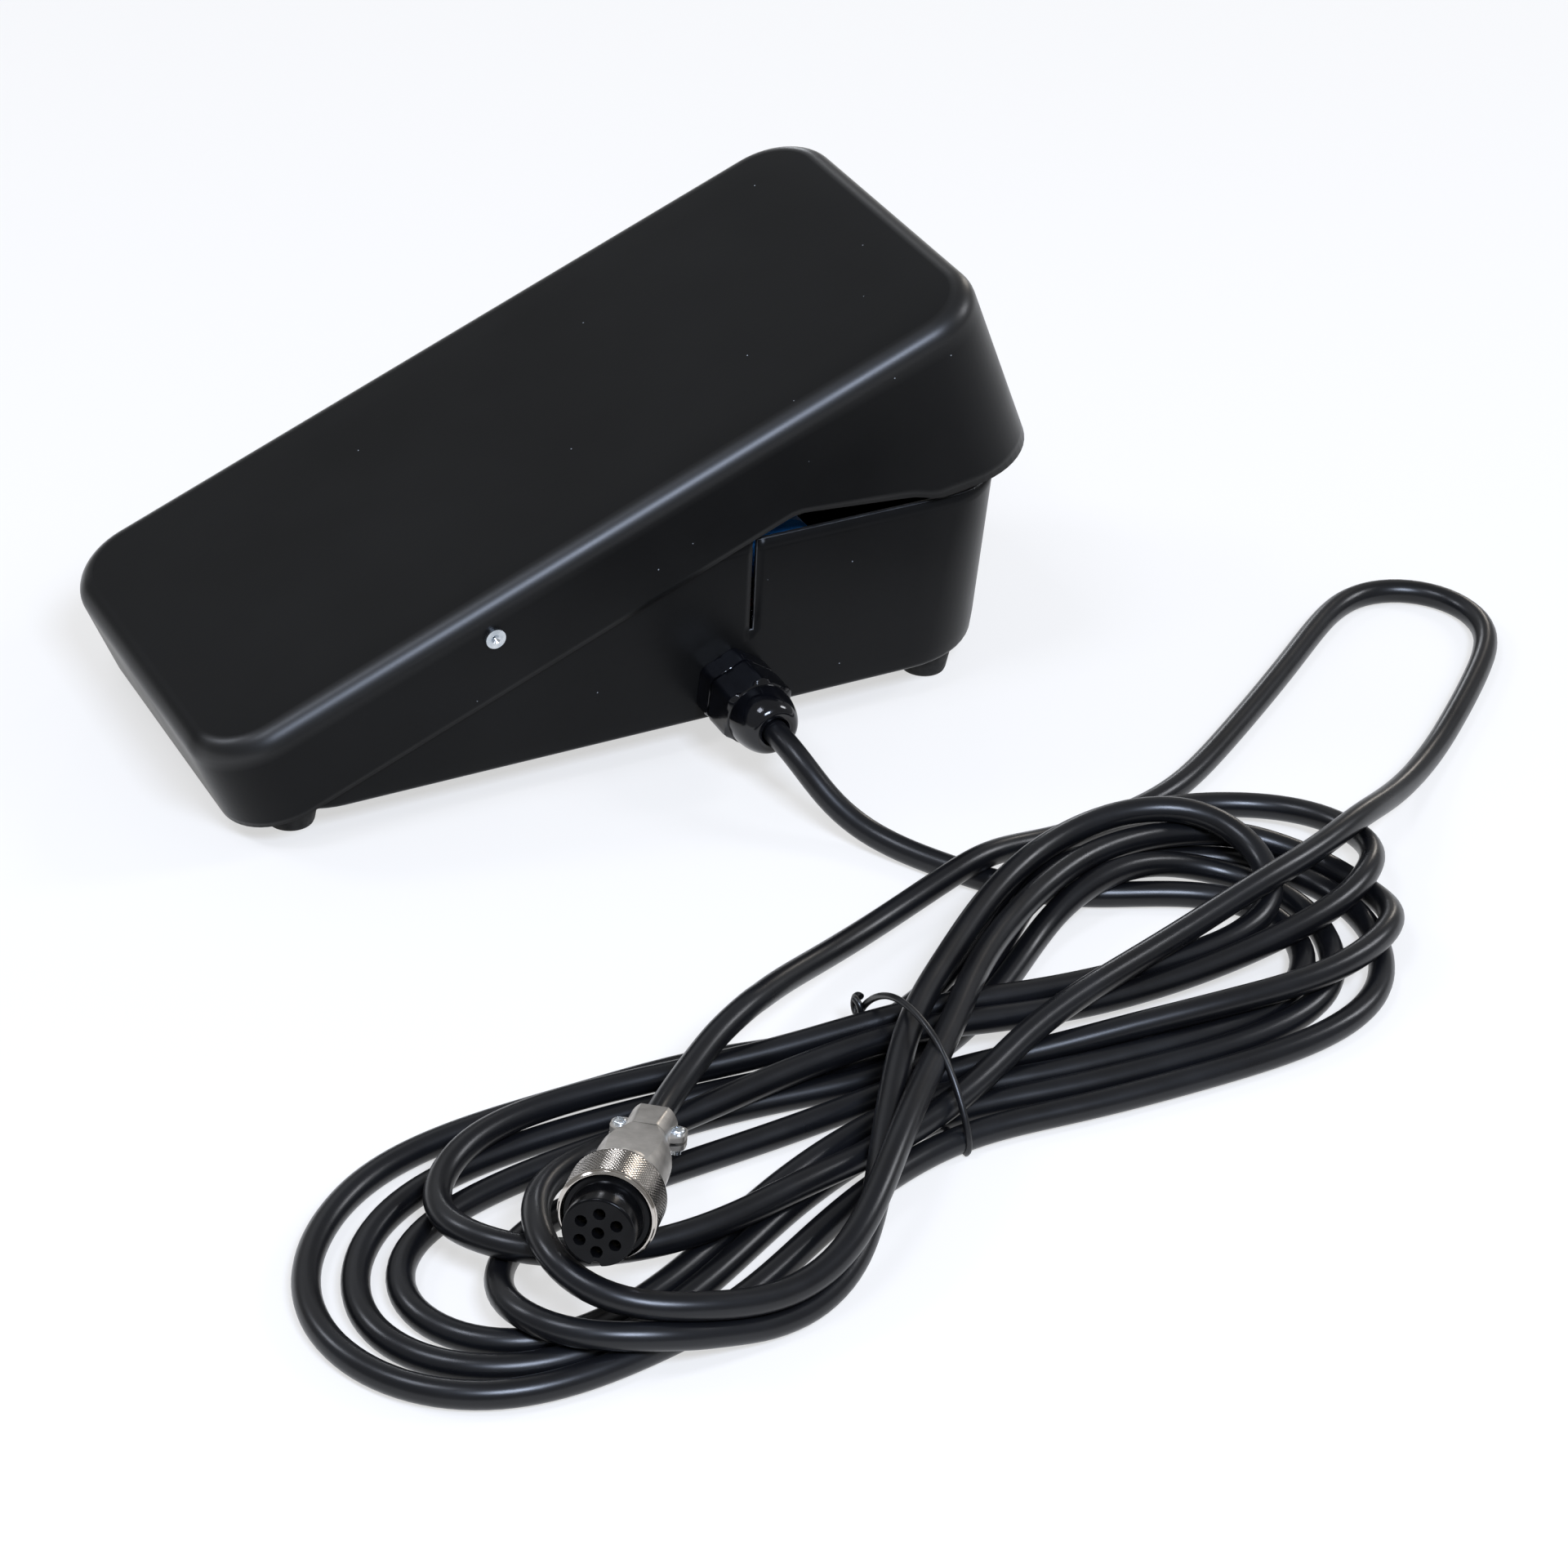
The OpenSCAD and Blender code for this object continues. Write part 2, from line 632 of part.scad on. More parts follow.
module pot_body() color("#1f7fd6") on_spindle() translate([0, 0, -bracket_t]) difference() {
    union() {
        translate([0, 0, -pot_l]) cylinder(d = pot_d, h = pot_l - 1.5);
        translate([0, 0, -1.5]) cylinder(d = pot_d - 2, h = 1.5);
    }
    translate([0, 0, -spindle_in]) cylinder(d = spindle_d + 2 * run_gap, h = spindle_in + 1);
}

module pot_bush() color("#c8a24a") on_spindle() translate([0, 0, -bracket_t]) difference() {
    cylinder(d = pot_bush_d, h = bracket_t + bush_l);
    translate([0, 0, -1]) cylinder(d = spindle_d + 2 * run_gap, h = bracket_t + bush_l + 2);
}

module pot_nut() color("#c8a24a") on_spindle() difference() {
    hexagon(pot_nut_af, pot_nut_h);
    translate([0, 0, -1]) cylinder(d = pot_bush_d + 2 * run_gap, h = pot_nut_h + 2);
}

module pot_terminals() color("#d9c9a0") for (k = [-1 : 1])
    at(spindle_x + k * terminal_dx - 1, pot_back_y - pot_terminal_l, spindle_z + terminal_dz)
        cube([2, pot_terminal_l, 0.8]);

module pot_spindle() color("#d2d4d6") on_spindle() translate([0, 0, -bracket_t - spindle_in + pass_gap])
    cylinder(d = spindle_d, h = bracket_y + bracket_t + spindle_in + pinion_y + pinion_w + hub_l);

module pinion() color("#e9e7df") at(spindle_x, pinion_y, spindle_z) difference() {
    union() {
        to_near_side() translate([0, 0, -pinion_w]) linear_extrude(pinion_w) polygon([
            for (k = [0 : pinion_teeth - 1])
                each tooth(pinion_r, line_angle + 180 + (k + 0.5) * 360 / pinion_teeth)
        ]);
        translate([0, pinion_w, 0]) to_far_side() cylinder(d = hub_d, h = hub_l);
    }
    to_near_side() cylinder(d = spindle_d, h = span, center = true);
    translate([0, pinion_w + hub_l / 2, 0]) cylinder(d = grub_d, h = hub_d);
}

module pinion_screw() color("#3a3a3c")
    at(spindle_x, pinion_y + pinion_w + hub_l / 2, spindle_z) difference() {
        intersection() {
            translate([0, 0, spindle_d / 2 + 0.3]) cylinder(d = grub_d, h = (hub_d - spindle_d) / 2 - 0.6);
            to_near_side() cylinder(d = hub_d, h = hub_l, center = true);
        }
        translate([0, 0, hub_d / 2 - 1.2]) hexagon(0.5 * grub_d, 3);
    }

module gear_sector() color("#e9e7df") on_tread() {
    line = line_angle - tread_tilt;
    pitch = 360 / sector_teeth;
    below = ceil(sector_low / pitch);
    above = ceil(sector_high / pitch);
    top_v = tread_in - flange_t / 2;
    arc_in = [for (a = [line - below * pitch : 2 : asin(top_v / sector_in_r)]) polar(sector_in_r, a)];
    difference() {
        union() {
            translate([0, -sector_y, 0]) to_near_side() translate([0, 0, -sector_t]) linear_extrude(sector_t)
                polygon(concat(
                    [for (k = [-below : above]) each tooth(sector_r, line + k * pitch)],
                    [[sqrt(sector_r * sector_r - top_v * top_v), top_v]],
                    [[sqrt(sector_in_r * sector_in_r - top_v * top_v), top_v]],
                    [for (k = [len(arc_in) - 1 : -1 : 0]) arc_in[k]]
                ));
            translate([flange_u - flange_l / 2, -sector_y, tread_in - flange_t])
                cube([flange_l, flange_w, flange_t]);
        }
        for (side = [-1, 1])
            translate([flange_u + side * stud_pitch / 2, stud_y, 0])
                cylinder(d = screw_d + 2 * hole_gap, h = span);
    }
}

module sector_nuts() color("#c9ccce") on_tread() for (side = [-1, 1])
    translate([flange_u + side * stud_pitch / 2, stud_y, tread_in - flange_t - nut_h]) difference() {
        hexagon(nut_af, nut_h);
        translate([0, 0, -1]) cylinder(d = screw_d + 2 * hole_gap, h = nut_h + 2);
    }

// Everything above the tread's underside, less a gap
module above_tread(gap) on_tread() translate([-span, -span, tread_in - gap]) cube(2 * span);

module upper_spring_seat() color("#e8e6dc") difference() {
    union() {
        at(spring_x, 0, seat_z) cylinder(d = seat_d, h = 2 * seat_d);
        at(spring_x, 0, seat_z - spigot_l) cylinder(d = spigot_d, h = spigot_l + 1);
    }
    above_tread(0);
}

module lower_spring_seat() color("#e8e6dc") at(spring_x, 0, pan_floor) difference() {
    union() {
        cylinder(d = seat_d, h = seat_t);
        cylinder(d = spigot_d, h = seat_t + spigot_l);
    }
    translate([0, 0, -1]) cylinder(d = post_bore_d, h = seat_t + spigot_l + 2);
}

// Height of the spring wire along its turns, with the end turns closed
function spring_rise(t, turns, h) =
    let (end = wire_d + 0.1, free = (h - 2 * end) / (turns - 2))
    t < 1 ? t * end : t > turns - 1 ? h - (turns - t) * end : end + (t - 1) * free;

module return_spring() color("#8e9194") {
    steps = 14;
    rise = seat_z - spring_base_z - wire_d - 2 * run_gap;
    mid_r = (spring_od - wire_d) / 2;
    at(spring_x, 0, spring_base_z + wire_d / 2 + run_gap) sweep([
        for (i = [0 : spring_turns * steps])
            let (t = i / steps)
            [mid_r * cos(360 * t), mid_r * sin(360 * t), spring_rise(t, spring_turns, rise)]
    ], wire_d, 8);
}

module stop_post(x, top) at(x, 0, pan_floor) difference() {
    cylinder(d = post_d, h = top - pan_floor);
    translate([0, 0, -1]) cylinder(d = post_screw_d, h = post_screw_l + 1);
}

module stop_posts() color("#b4b7b9") {
    stop_post(spring_x, press_cap_top - cap_h);
    stop_post(-heel_stop, heel_cap_low);
}

module stop_caps() color("#161616") {
    at(spring_x, 0, press_cap_top - cap_h) cylinder(d = cap_d, h = cap_h);
    difference() {
        at(-heel_stop, 0, heel_cap_low) cylinder(d = cap_d, h = 3 * cap_h);
        above_tread(pass_gap);
    }
}

module post_screws() color("#c9ccce") at_posts() translate([0, 0, foot_h])
    mirror([0, 0, 1]) pan_screw(post_screw_d, sheet_t + post_screw_l - 1);

module at_switch_holes() for (side = [-1, 1])
    at(-switch_heel + switch_l / 2 + side * switch_hole_pitch / 2, switch_y, switch_z + 3.5) children();

module switch_body() color("#1c1c1e") difference() {
    at(-switch_heel, switch_y, switch_z) cube([switch_l, switch_w, switch_h]);
    at(plunger_x, lever_y + lever_w / 2, switch_top - plunger_l - 1)
        cylinder(d = plunger_d + 2 * hole_gap, h = 3 * plunger_l);
    at_switch_holes() to_near_side() cylinder(d = switch_hole_d + 2 * hole_gap, h = span, center = true);
}

module switch_bracket() color("#a9abab") difference() {
    union() {
        at(-switch_heel, switch_y + switch_w, pan_floor)
            cube([switch_l, switch_plate_t, switch_top - 2 - pan_floor]);
        at(-switch_heel, switch_y + switch_w, pan_floor) cube([switch_l, switch_foot, switch_plate_t]);
    }
    at_switch_holes() to_near_side() cylinder(d = switch_hole_d + 2 * hole_gap, h = span, center = true);
    at_switch_foot() cylinder(d = screw_d + 2 * hole_gap, h = span, center = true);
}

module switch_screws() color("#c9ccce") at_switch_holes() to_near_side()
    pan_screw(switch_hole_d, switch_w + switch_plate_t + 3);

module switch_nuts() color("#c9ccce") at_switch_holes() translate([0, switch_w + switch_plate_t, 0])
    to_far_side() difference() {
        hexagon(5.5, 2.4);
        translate([0, 0, -1]) cylinder(d = switch_hole_d + 2 * hole_gap, h = 5);
    }

module switch_terminals() color("#d9c9a0") for (k = [0 : 2])
    at(-switch_heel + 4 + k * 9, switch_y + switch_w / 2 - 0.4, switch_z - terminal_l)
        cube([3, 0.8, terminal_l]);

module switch_lever() color("#c9ccce") at(lever_x, lever_y, lever_low) {
    cube([lever_l, lever_w, lever_t]);
    translate([0, lever_w, lever_t]) to_near_side() cylinder(d = 2 * lever_t, h = lever_w);
}

module switch_plunger() color("#b3261e")
    at(plunger_x, lever_y + lever_w / 2, lever_low - hole_gap - plunger_l)
        cylinder(d = plunger_d, h = plunger_l);

module switch_tab() color("#a9abab") {
    difference() {
        at(-tab_x - tab_t / 2, tab_y, tab_tip_z + tab_t / 2) cube([tab_t, tab_w, span]);
        above_tread(0);
    }
    at(-tab_x, tab_y, tab_tip_z + tab_t / 2) to_far_side() cylinder(d = tab_t, h = tab_w);
}

// Frame of the gland, with Z out of the near wall and zero at the wall's face
module on_gland() at(gland_x, gland_y, gland_z) to_near_side() children();

module gland_body() color("#17181b") on_gland() difference() {
    union() {
        rotate([0, 0, gland_turn]) hexagon(gland_af, gland_flange);
        translate([0, 0, -sheet_t - gland_in]) cylinder(d = gland_thread, h = sheet_t + gland_in + 1);
        cylinder(d = collar_d, h = gland_flange + collar_l);
    }
    translate([0, 0, -span / 2]) cylinder(d = gland_bore, h = span);
}

module gland_lock_nut() color("#17181b") on_gland() translate([0, 0, -sheet_t - lock_t]) difference() {
    hexagon(lock_af, lock_t);
    translate([0, 0, -1]) cylinder(d = gland_thread + 2 * hole_gap, h = lock_t + 2);
}

module gland_seal() color("#101010") on_gland() difference() {
    union() {
        translate([0, 0, gland_flange + 1]) cylinder(d = gland_bore - 2 * run_gap, h = collar_l - 1);
        translate([0, 0, gland_flange + collar_l]) cylinder(d = collar_d - 1, h = seal_flange);
    }
    cylinder(d = cable_d + 2 * run_gap, h = span);
}

module gland_nut() color("#17181b") on_gland() {
    start = gland_flange + pass_gap / 2;
    shoulder = gland_flange + gland_nut_l;
    dome_r = gland_af / 2 - 0.4;
    lip_r = cable_d / 2 + 2.2;
    difference() {
        union() {
            translate([0, 0, start]) rotate([0, 0, gland_turn]) hexagon(gland_af, shoulder - start);
            translate([0, 0, shoulder]) rotate_extrude() polygon(concat(
                [[0, 0]],
                [for (a = [0 : 10 : 90])
                    [lip_r + (dome_r - lip_r) * cos(a), gland_dome_l * sin(a)]],
                [[0, gland_dome_l]]
            ));
        }
        cylinder(d = collar_d + 2 * hole_gap, h = gland_flange + collar_l + seal_flange + hole_gap);
        cylinder(d = cable_d + 2 * hole_gap, h = span);
    }
}

module cable_entry() color("#121214") on_gland() translate([0, 0, -cable_in])
    cylinder(d = cable_d, h = cable_in + gland_out);

// Cores from the cable's inner end: three to the potentiometer, two to the switch
module core_wires() color("#8a2f2f") {
    start_y = gland_y + cable_in;
    pot_y = pot_back_y - pot_terminal_l;
    run_y = -seat_d / 2 - 5;
    run_z = pan_floor + 1.2;
    for (k = [-1 : 1]) sweep([
        [axle_x + gland_x + 1.9 * k, start_y, gland_z + 1.2],
        [axle_x + gland_x + 1 + 2 * k, start_y + 4, gland_z + 2.5],
        [axle_x + gland_x + 4 + 2.2 * k, start_y + 7, gland_z + 6.5],
        [axle_x + gland_x + 7 + 2.4 * k, start_y + 6, gland_z + 11.5],
        [axle_x + gland_x + 9 + 2.6 * k, start_y, gland_z + 15.5],
        [axle_x + gland_x + 10 + 3 * k, start_y - 7, gland_z + 17],
        [axle_x + spindle_x + 5 * k - 7, pot_y - 2.4, spindle_z + terminal_dz - 4],
        [axle_x + spindle_x + terminal_dx * k - 1, pot_y - 2.6, spindle_z + terminal_dz - 1.2],
        [axle_x + spindle_x + terminal_dx * k, pot_y - 0.6, spindle_z + terminal_dz + 0.4]
    ], core_d, 6);
    for (k = [0 : 1]) {
        side = 1 - 2 * k;
        end_x = axle_x - switch_heel + 23.5 - 9 * k;
        sweep([
            [axle_x + gland_x + 1.2 * side, start_y, gland_z - 1.6],
            [axle_x + gland_x + 1.3 * side, start_y + 4, gland_z - 2.2],
            [axle_x + gland_x - 3 + 1.6 * side, start_y + 13 + 1.2 * side, gland_z - 6],
            [axle_x + gland_x - 14, run_y + 1.8 * side, run_z + 0.2],
            [axle_x + 30, run_y + 1 + 1.8 * side, run_z],
            [axle_x + 6, run_y + 4 + 1.8 * side, run_z],
            [end_x + 7, run_y + 11 + 1.8 * side, run_z],
            [end_x, run_y + 24, run_z],
            [end_x, switch_y - 4, run_z + 0.1],
            [end_x, switch_y + 1, run_z + 0.6],
            [end_x, switch_y + switch_w / 2 - 1, switch_z - terminal_l + 1.5]
        ], core_d, 6);
    }
}

module plug_shell() color("#c4c1bb") plug_frame() difference() {
    union() {
        translate([0, 0, barrel_z]) cylinder(d = neck_d, h = shoulder_z - barrel_z + 1);
        translate([0, 0, shoulder_z]) cylinder(d = shoulder_d, h = shoulder_t);
        translate([0, 0, shoulder_z]) cylinder(d = cup_d, h = cup_z - shoulder_z);
        translate([0, 0, barrel_z - barrel_l]) cylinder(d = barrel_d, h = barrel_l);
        translate([0, -cradle_w / 2, -plug_l])
            cube([cradle_h, cradle_w, plug_l + barrel_z - barrel_l + 1]);
        translate([0.3, -clamp_screw_dx - 2.3, -plug_l])
            cube([4, 2 * clamp_screw_dx + 4.6, clamp_l + 1]);
    }
    translate([0, 0, insert_back]) cylinder(d = insert_d, h = span);
    translate([0, 0, barrel_z - barrel_l + 2]) cylinder(d = neck_d - 3, h = span / 2);
    translate([0, 0, -plug_l - 1]) cylinder(d = cable_d + 2 * hole_gap, h = plug_l);
    for (side = [-1, 1])
        translate([-1, side * clamp_screw_dx, -plug_l + clamp_l / 2 + 0.5]) rotate([0, 90, 0])
            cylinder(d = clamp_screw_d, h = 8);
}

module at_contacts() {
    children();
    for (k = [0 : contact_count - 1])
        rotate([0, 0, k * 360 / contact_count]) translate([contact_pcd / 2, 0, 0]) children();
}

module plug_insert() color("#131314") plug_frame() translate([0, 0, insert_out]) difference() {
    translate([0, 0, insert_back - insert_out]) cylinder(d = insert_d, h = insert_out - insert_back);
    at_contacts() translate([0, 0, -contact_l]) cylinder(d = contact_d + 2 * run_gap, h = 2 * contact_l);
    translate([insert_d / 2, 0, -5]) cylinder(d = 2.4, h = 6);
}

module plug_contacts() color("#cfae5b") plug_frame() translate([0, 0, insert_out - contact_l])
    at_contacts() difference() {
        cylinder(d = contact_d, h = contact_l - 1);
        translate([0, 0, 1]) cylinder(d = contact_d - 0.9, h = contact_l);
    }

module coupling_ring() color("#c9c6c0") plug_frame() difference() {
    translate([0, 0, -ring_l]) cylinder(d = ring_d, h = ring_l);
    translate([0, 0, -ring_l - 1]) cylinder(d = neck_d + 2 * run_gap, h = span);
    translate([0, 0, -ring_l + ring_lip]) cylinder(d = ring_in_d, h = span);
}

module plug_clamp() color("#c4c1bb") plug_frame() difference() {
    translate([-cable_d / 2 - clamp_t + 0.8, -clamp_screw_dx - 2.3, -plug_l + 0.5])
        cube([cable_d / 2 + clamp_t - 1.1, 2 * clamp_screw_dx + 4.6, clamp_l]);
    translate([0, 0, -plug_l - 1]) cylinder(d = cable_d + 2 * hole_gap, h = plug_l);
    for (side = [-1, 1])
        translate([-span / 2, side * clamp_screw_dx, -plug_l + clamp_l / 2 + 0.5]) rotate([0, 90, 0])
            cylinder(d = clamp_screw_d + 2 * hole_gap, h = span);
}

module clamp_screws() color("#c9ccce") plug_frame() for (side = [-1, 1])
    translate([-cable_d / 2 - clamp_t + 0.8, side * clamp_screw_dx, -plug_l + clamp_l / 2 + 0.5])
        rotate([0, -90, 0]) pan_screw(clamp_screw_d, cable_d / 2 + clamp_t + 2);

module cord_lead() color("#121214") sweep(lead_route, cable_d, 10);

module cord_tail() color("#121214") sweep(tail_route, cable_d, 10);

module cord_hank() color("#121214") difference() {
    union() {
        linear_extrude(hank_h) polygon(smooth_loop(hank_outline, 3));
        translate([-waist_l / 2, waist_low, 0]) cube([waist_l, waist_high - waist_low, waist_h]);
    }
    translate([-tie_groove / 2, waist_low - 20, -1])
        cube([tie_groove, waist_high - waist_low + 40, tie_groove + 1]);
}

module cord_tie() color("#101010") {
    low = pass_gap + tie_d / 2;
    high = waist_h + pass_gap + tie_d / 2;
    near = waist_low - pass_gap - tie_d / 2;
    far = waist_high + pass_gap + tie_d / 2;
    for (z = [low, high]) translate([0, near, z]) to_far_side() cylinder(d = tie_d, h = far - near);
    for (y = [near, far]) {
        translate([0, y, low]) cylinder(d = tie_d, h = high - low);
        for (z = [low, high]) translate([0, y, z]) sphere(d = tie_d);
    }
}

base_pan();
rubber_feet();
foot_screws();
foot_nuts();
axle_bushes();
control_bracket();
bracket_screws();
pot_body();
pot_bush();
pot_nut();
pot_terminals();
pot_spindle();
pinion();
pinion_screw();
lower_spring_seat();
return_spring();
stop_posts();
stop_caps();
post_screws();
switch_bracket();
switch_body();
switch_terminals();
switch_screws();
switch_nuts();
switch_lever();
switch_plunger();
gland_body();
gland_lock_nut();
gland_seal();
gland_nut();
cable_entry();
core_wires();
pedal_cover();
pivot_axle();
axle_clips();
gear_sector();
sector_nuts();
upper_spring_seat();
switch_tab();
plug_shell();
plug_insert();
plug_contacts();
coupling_ring();
plug_clamp();
clamp_screws();
cord_lead();
cord_hank();
cord_tail();
cord_tie();
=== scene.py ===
import bmesh
import bpy
import numpy as np
from mathutils import Matrix


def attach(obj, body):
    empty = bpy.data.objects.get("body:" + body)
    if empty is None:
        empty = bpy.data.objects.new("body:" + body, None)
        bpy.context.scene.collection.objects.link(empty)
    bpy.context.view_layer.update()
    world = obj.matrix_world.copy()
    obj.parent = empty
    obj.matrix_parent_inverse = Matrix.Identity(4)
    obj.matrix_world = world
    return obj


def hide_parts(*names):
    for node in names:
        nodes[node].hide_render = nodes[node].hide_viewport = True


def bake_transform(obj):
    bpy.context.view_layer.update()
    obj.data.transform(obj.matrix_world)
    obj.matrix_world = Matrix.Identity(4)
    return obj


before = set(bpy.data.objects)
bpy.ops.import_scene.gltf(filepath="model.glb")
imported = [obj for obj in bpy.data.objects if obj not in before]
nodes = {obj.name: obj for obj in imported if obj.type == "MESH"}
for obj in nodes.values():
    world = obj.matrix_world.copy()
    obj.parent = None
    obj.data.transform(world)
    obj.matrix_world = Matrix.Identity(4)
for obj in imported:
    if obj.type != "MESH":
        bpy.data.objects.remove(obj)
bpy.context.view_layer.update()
mm = 0.001
scene = bpy.context.scene


# sRGB hex to linear RGBA: c/12.92 below 0.04045, else ((c+0.055)/1.055)^2.4
def linear(hexColour):
    c = np.array([int(hexColour[i:i + 2], 16) for i in (1, 3, 5)]) / 255
    c = np.where(c <= 0.04045, c / 12.92, ((c + 0.055) / 1.055) ** 2.4)
    return (*c.tolist(), 1.0)


# adds one node: settings are its own properties, sockets are values or other nodes' outputs
def addNode(tree, kind, sockets=None, **settings):
    made = tree.nodes.new(kind)
    for key, value in settings.items():
        setattr(made, key, value)
    for key, value in (sockets or {}).items():
        if isinstance(value, bpy.types.NodeSocket):
            tree.links.new(value, made.inputs[key])
        else:
            made.inputs[key].default_value = value
    return made


# one operation on two inputs
def addMath(tree, operation, a, b):
    return addNode(tree, "ShaderNodeMath", {0: a, 1: b}, operation=operation).outputs[0]


# a material whose node tree is empty, and that tree
def addMaterial(name):
    made = bpy.data.materials.new(name)
    made.use_nodes = True
    made.node_tree.nodes.clear()
    return made, made.node_tree


# an object for some data, in the scene
def addObject(name, data):
    made = bpy.data.objects.new(name, data)
    scene.collection.objects.link(made)
    return made


# vectors divided by their lengths
def unit(v):
    return v / np.linalg.norm(v, axis=-1, keepdims=True)


# stands an object at a place with its own x, y and z along three unit vectors: they are its matrix's columns
def stand(thing, x, y, z, place):
    turn = np.eye(4)
    turn[:3] = np.stack([x, y, z, place], 1)
    thing.matrix_world = Matrix(turn.tolist())


print("stage: camera and studio")
# where the photograph was taken from, in the part's own frame: mm and degrees; clip in metres
view = dict(place=(-475.06, -998.93, 690.74), yaw=29.0847, pitch=33.4628, roll=2.9266, lens=99.398, sensor=36,
            clip=(0.05, 50))


# camera axes from yaw, pitch and roll: ahead points down at the part, right lies level before the roll
def aimCamera(v):
    yaw, pitch, roll = np.radians([v["yaw"], v["pitch"], v["roll"]])
    right = np.array([np.cos(yaw), -np.sin(yaw), 0])
    ahead = np.array([np.sin(yaw) * np.cos(pitch), np.cos(yaw) * np.cos(pitch), -np.sin(pitch)])
    up = np.cross(right, ahead)
    across = right * np.cos(roll) + up * np.sin(roll)
    upright = up * np.cos(roll) - right * np.sin(roll)
    data = bpy.data.cameras.new("photoCamera")
    data.lens, data.sensor_width = v["lens"], v["sensor"]
    data.clip_start, data.clip_end = v["clip"]
    scene.camera = addObject("photoCamera", data)
    stand(scene.camera, across, upright, -ahead, np.array(v["place"]) * mm)


aimCamera(view)
scene.view_settings.view_transform = "Standard"

studio = dict(
    floorHalf=10.0, floorColour="#ebe9e6", floorGlow=0.62, worldColour="#f1f2f3", worldLevel=0.34,
    # name; place, aim and size in metres; watts; colour
    lamps=(
        ("keySoftbox", (-0.15, -1.35, 1.45), (0.0, -0.05, 0.05), (0.60, 0.45), 34, "#d9e6ff"),
        ("overheadSoftbox", (-0.80, -0.20, 1.75), (-0.1, -0.1, 0.04), (0.50, 0.50), 9, "#e8efff"),
        ("heelSoftbox", (-1.20, 0.84, 1.38), (-0.12, -0.05, 0.06), (0.40, 0.40), 7, "#eef3ff"),
        ("toeSoftbox", (1.45, -0.35, 1.05), (0.05, -0.1, 0.04), (0.30, 0.50), 7, "#f4f6fc"),
        ("backStrip", (0.75, 1.50, 0.50), (-0.1, -0.25, 0.03), (0.18, 0.40), 1.7, "#f6f9ff"),
        ("sideStrip", (1.40, 0.95, 0.50), (-0.1, -0.25, 0.03), (0.18, 0.40), 1.7, "#fff6ec"),
        ("topBank", (-0.20, 1.50, 1.35), (0.0, 0.0, 0.08), (2.0, 1.0), 2.4, "#f2f5fb"),
    ),
)


# each lamp looks along the line from its place to its aim, with its side level; the floor is matt, and to the eye
# and to mirrors a share of it glows white
def lightStudio(s):
    world = bpy.data.worlds.new("paleRoom")
    scene.world = world
    world.use_nodes = True
    sky = world.node_tree.nodes["Background"]
    sky.inputs["Color"].default_value = linear(s["worldColour"])
    sky.inputs["Strength"].default_value = s["worldLevel"]
    for name, place, aim, size, watts, colour in s["lamps"]:
        data = bpy.data.lights.new(name, "AREA")
        data.shape, data.size, data.size_y = "RECTANGLE", size[0], size[1]
        data.energy, data.color = watts, linear(colour)[:3]
        lamp = addObject(name, data)
        lamp.visible_camera = False
        back = unit(np.array(place) - np.array(aim))
        side = unit(np.cross([0, 0, 1], back))
        stand(lamp, side, np.cross(back, side), back, place)
    half = s["floorHalf"]
    mesh = bpy.data.meshes.new("studioFloor")
    mesh.from_pydata([(-half, -half, 0), (half, -half, 0), (half, half, 0), (-half, half, 0)], [], [(0, 1, 2, 3)])
    floor = addObject("studioFloor", mesh)
    paper, tree = addMaterial("whitePaperSweep")  # matt photographic paper, lit to white, keeps a soft shadow
    rays = addNode(tree, "ShaderNodeLightPath").outputs
    seen = addMath(tree, "MAXIMUM", rays["Is Camera Ray"], rays["Is Glossy Ray"])
    seen = addMath(tree, "MAXIMUM", seen, rays["Is Transmission Ray"])
    share = addMath(tree, "MULTIPLY", seen, s["floorGlow"])
    matt = addNode(tree, "ShaderNodeBsdfDiffuse", {"Color": linear(s["floorColour"])})
    glow = addNode(tree, "ShaderNodeEmission", {"Color": (1, 1, 1, 1), "Strength": 1.0})
    mix = addNode(tree, "ShaderNodeMixShader", {0: share, 1: matt.outputs[0], 2: glow.outputs[0]})
    addNode(tree, "ShaderNodeOutputMaterial", {"Surface": mix.outputs[0]})
    mesh.materials.append(paper)


lightStudio(studio)


print("stage: finishes")
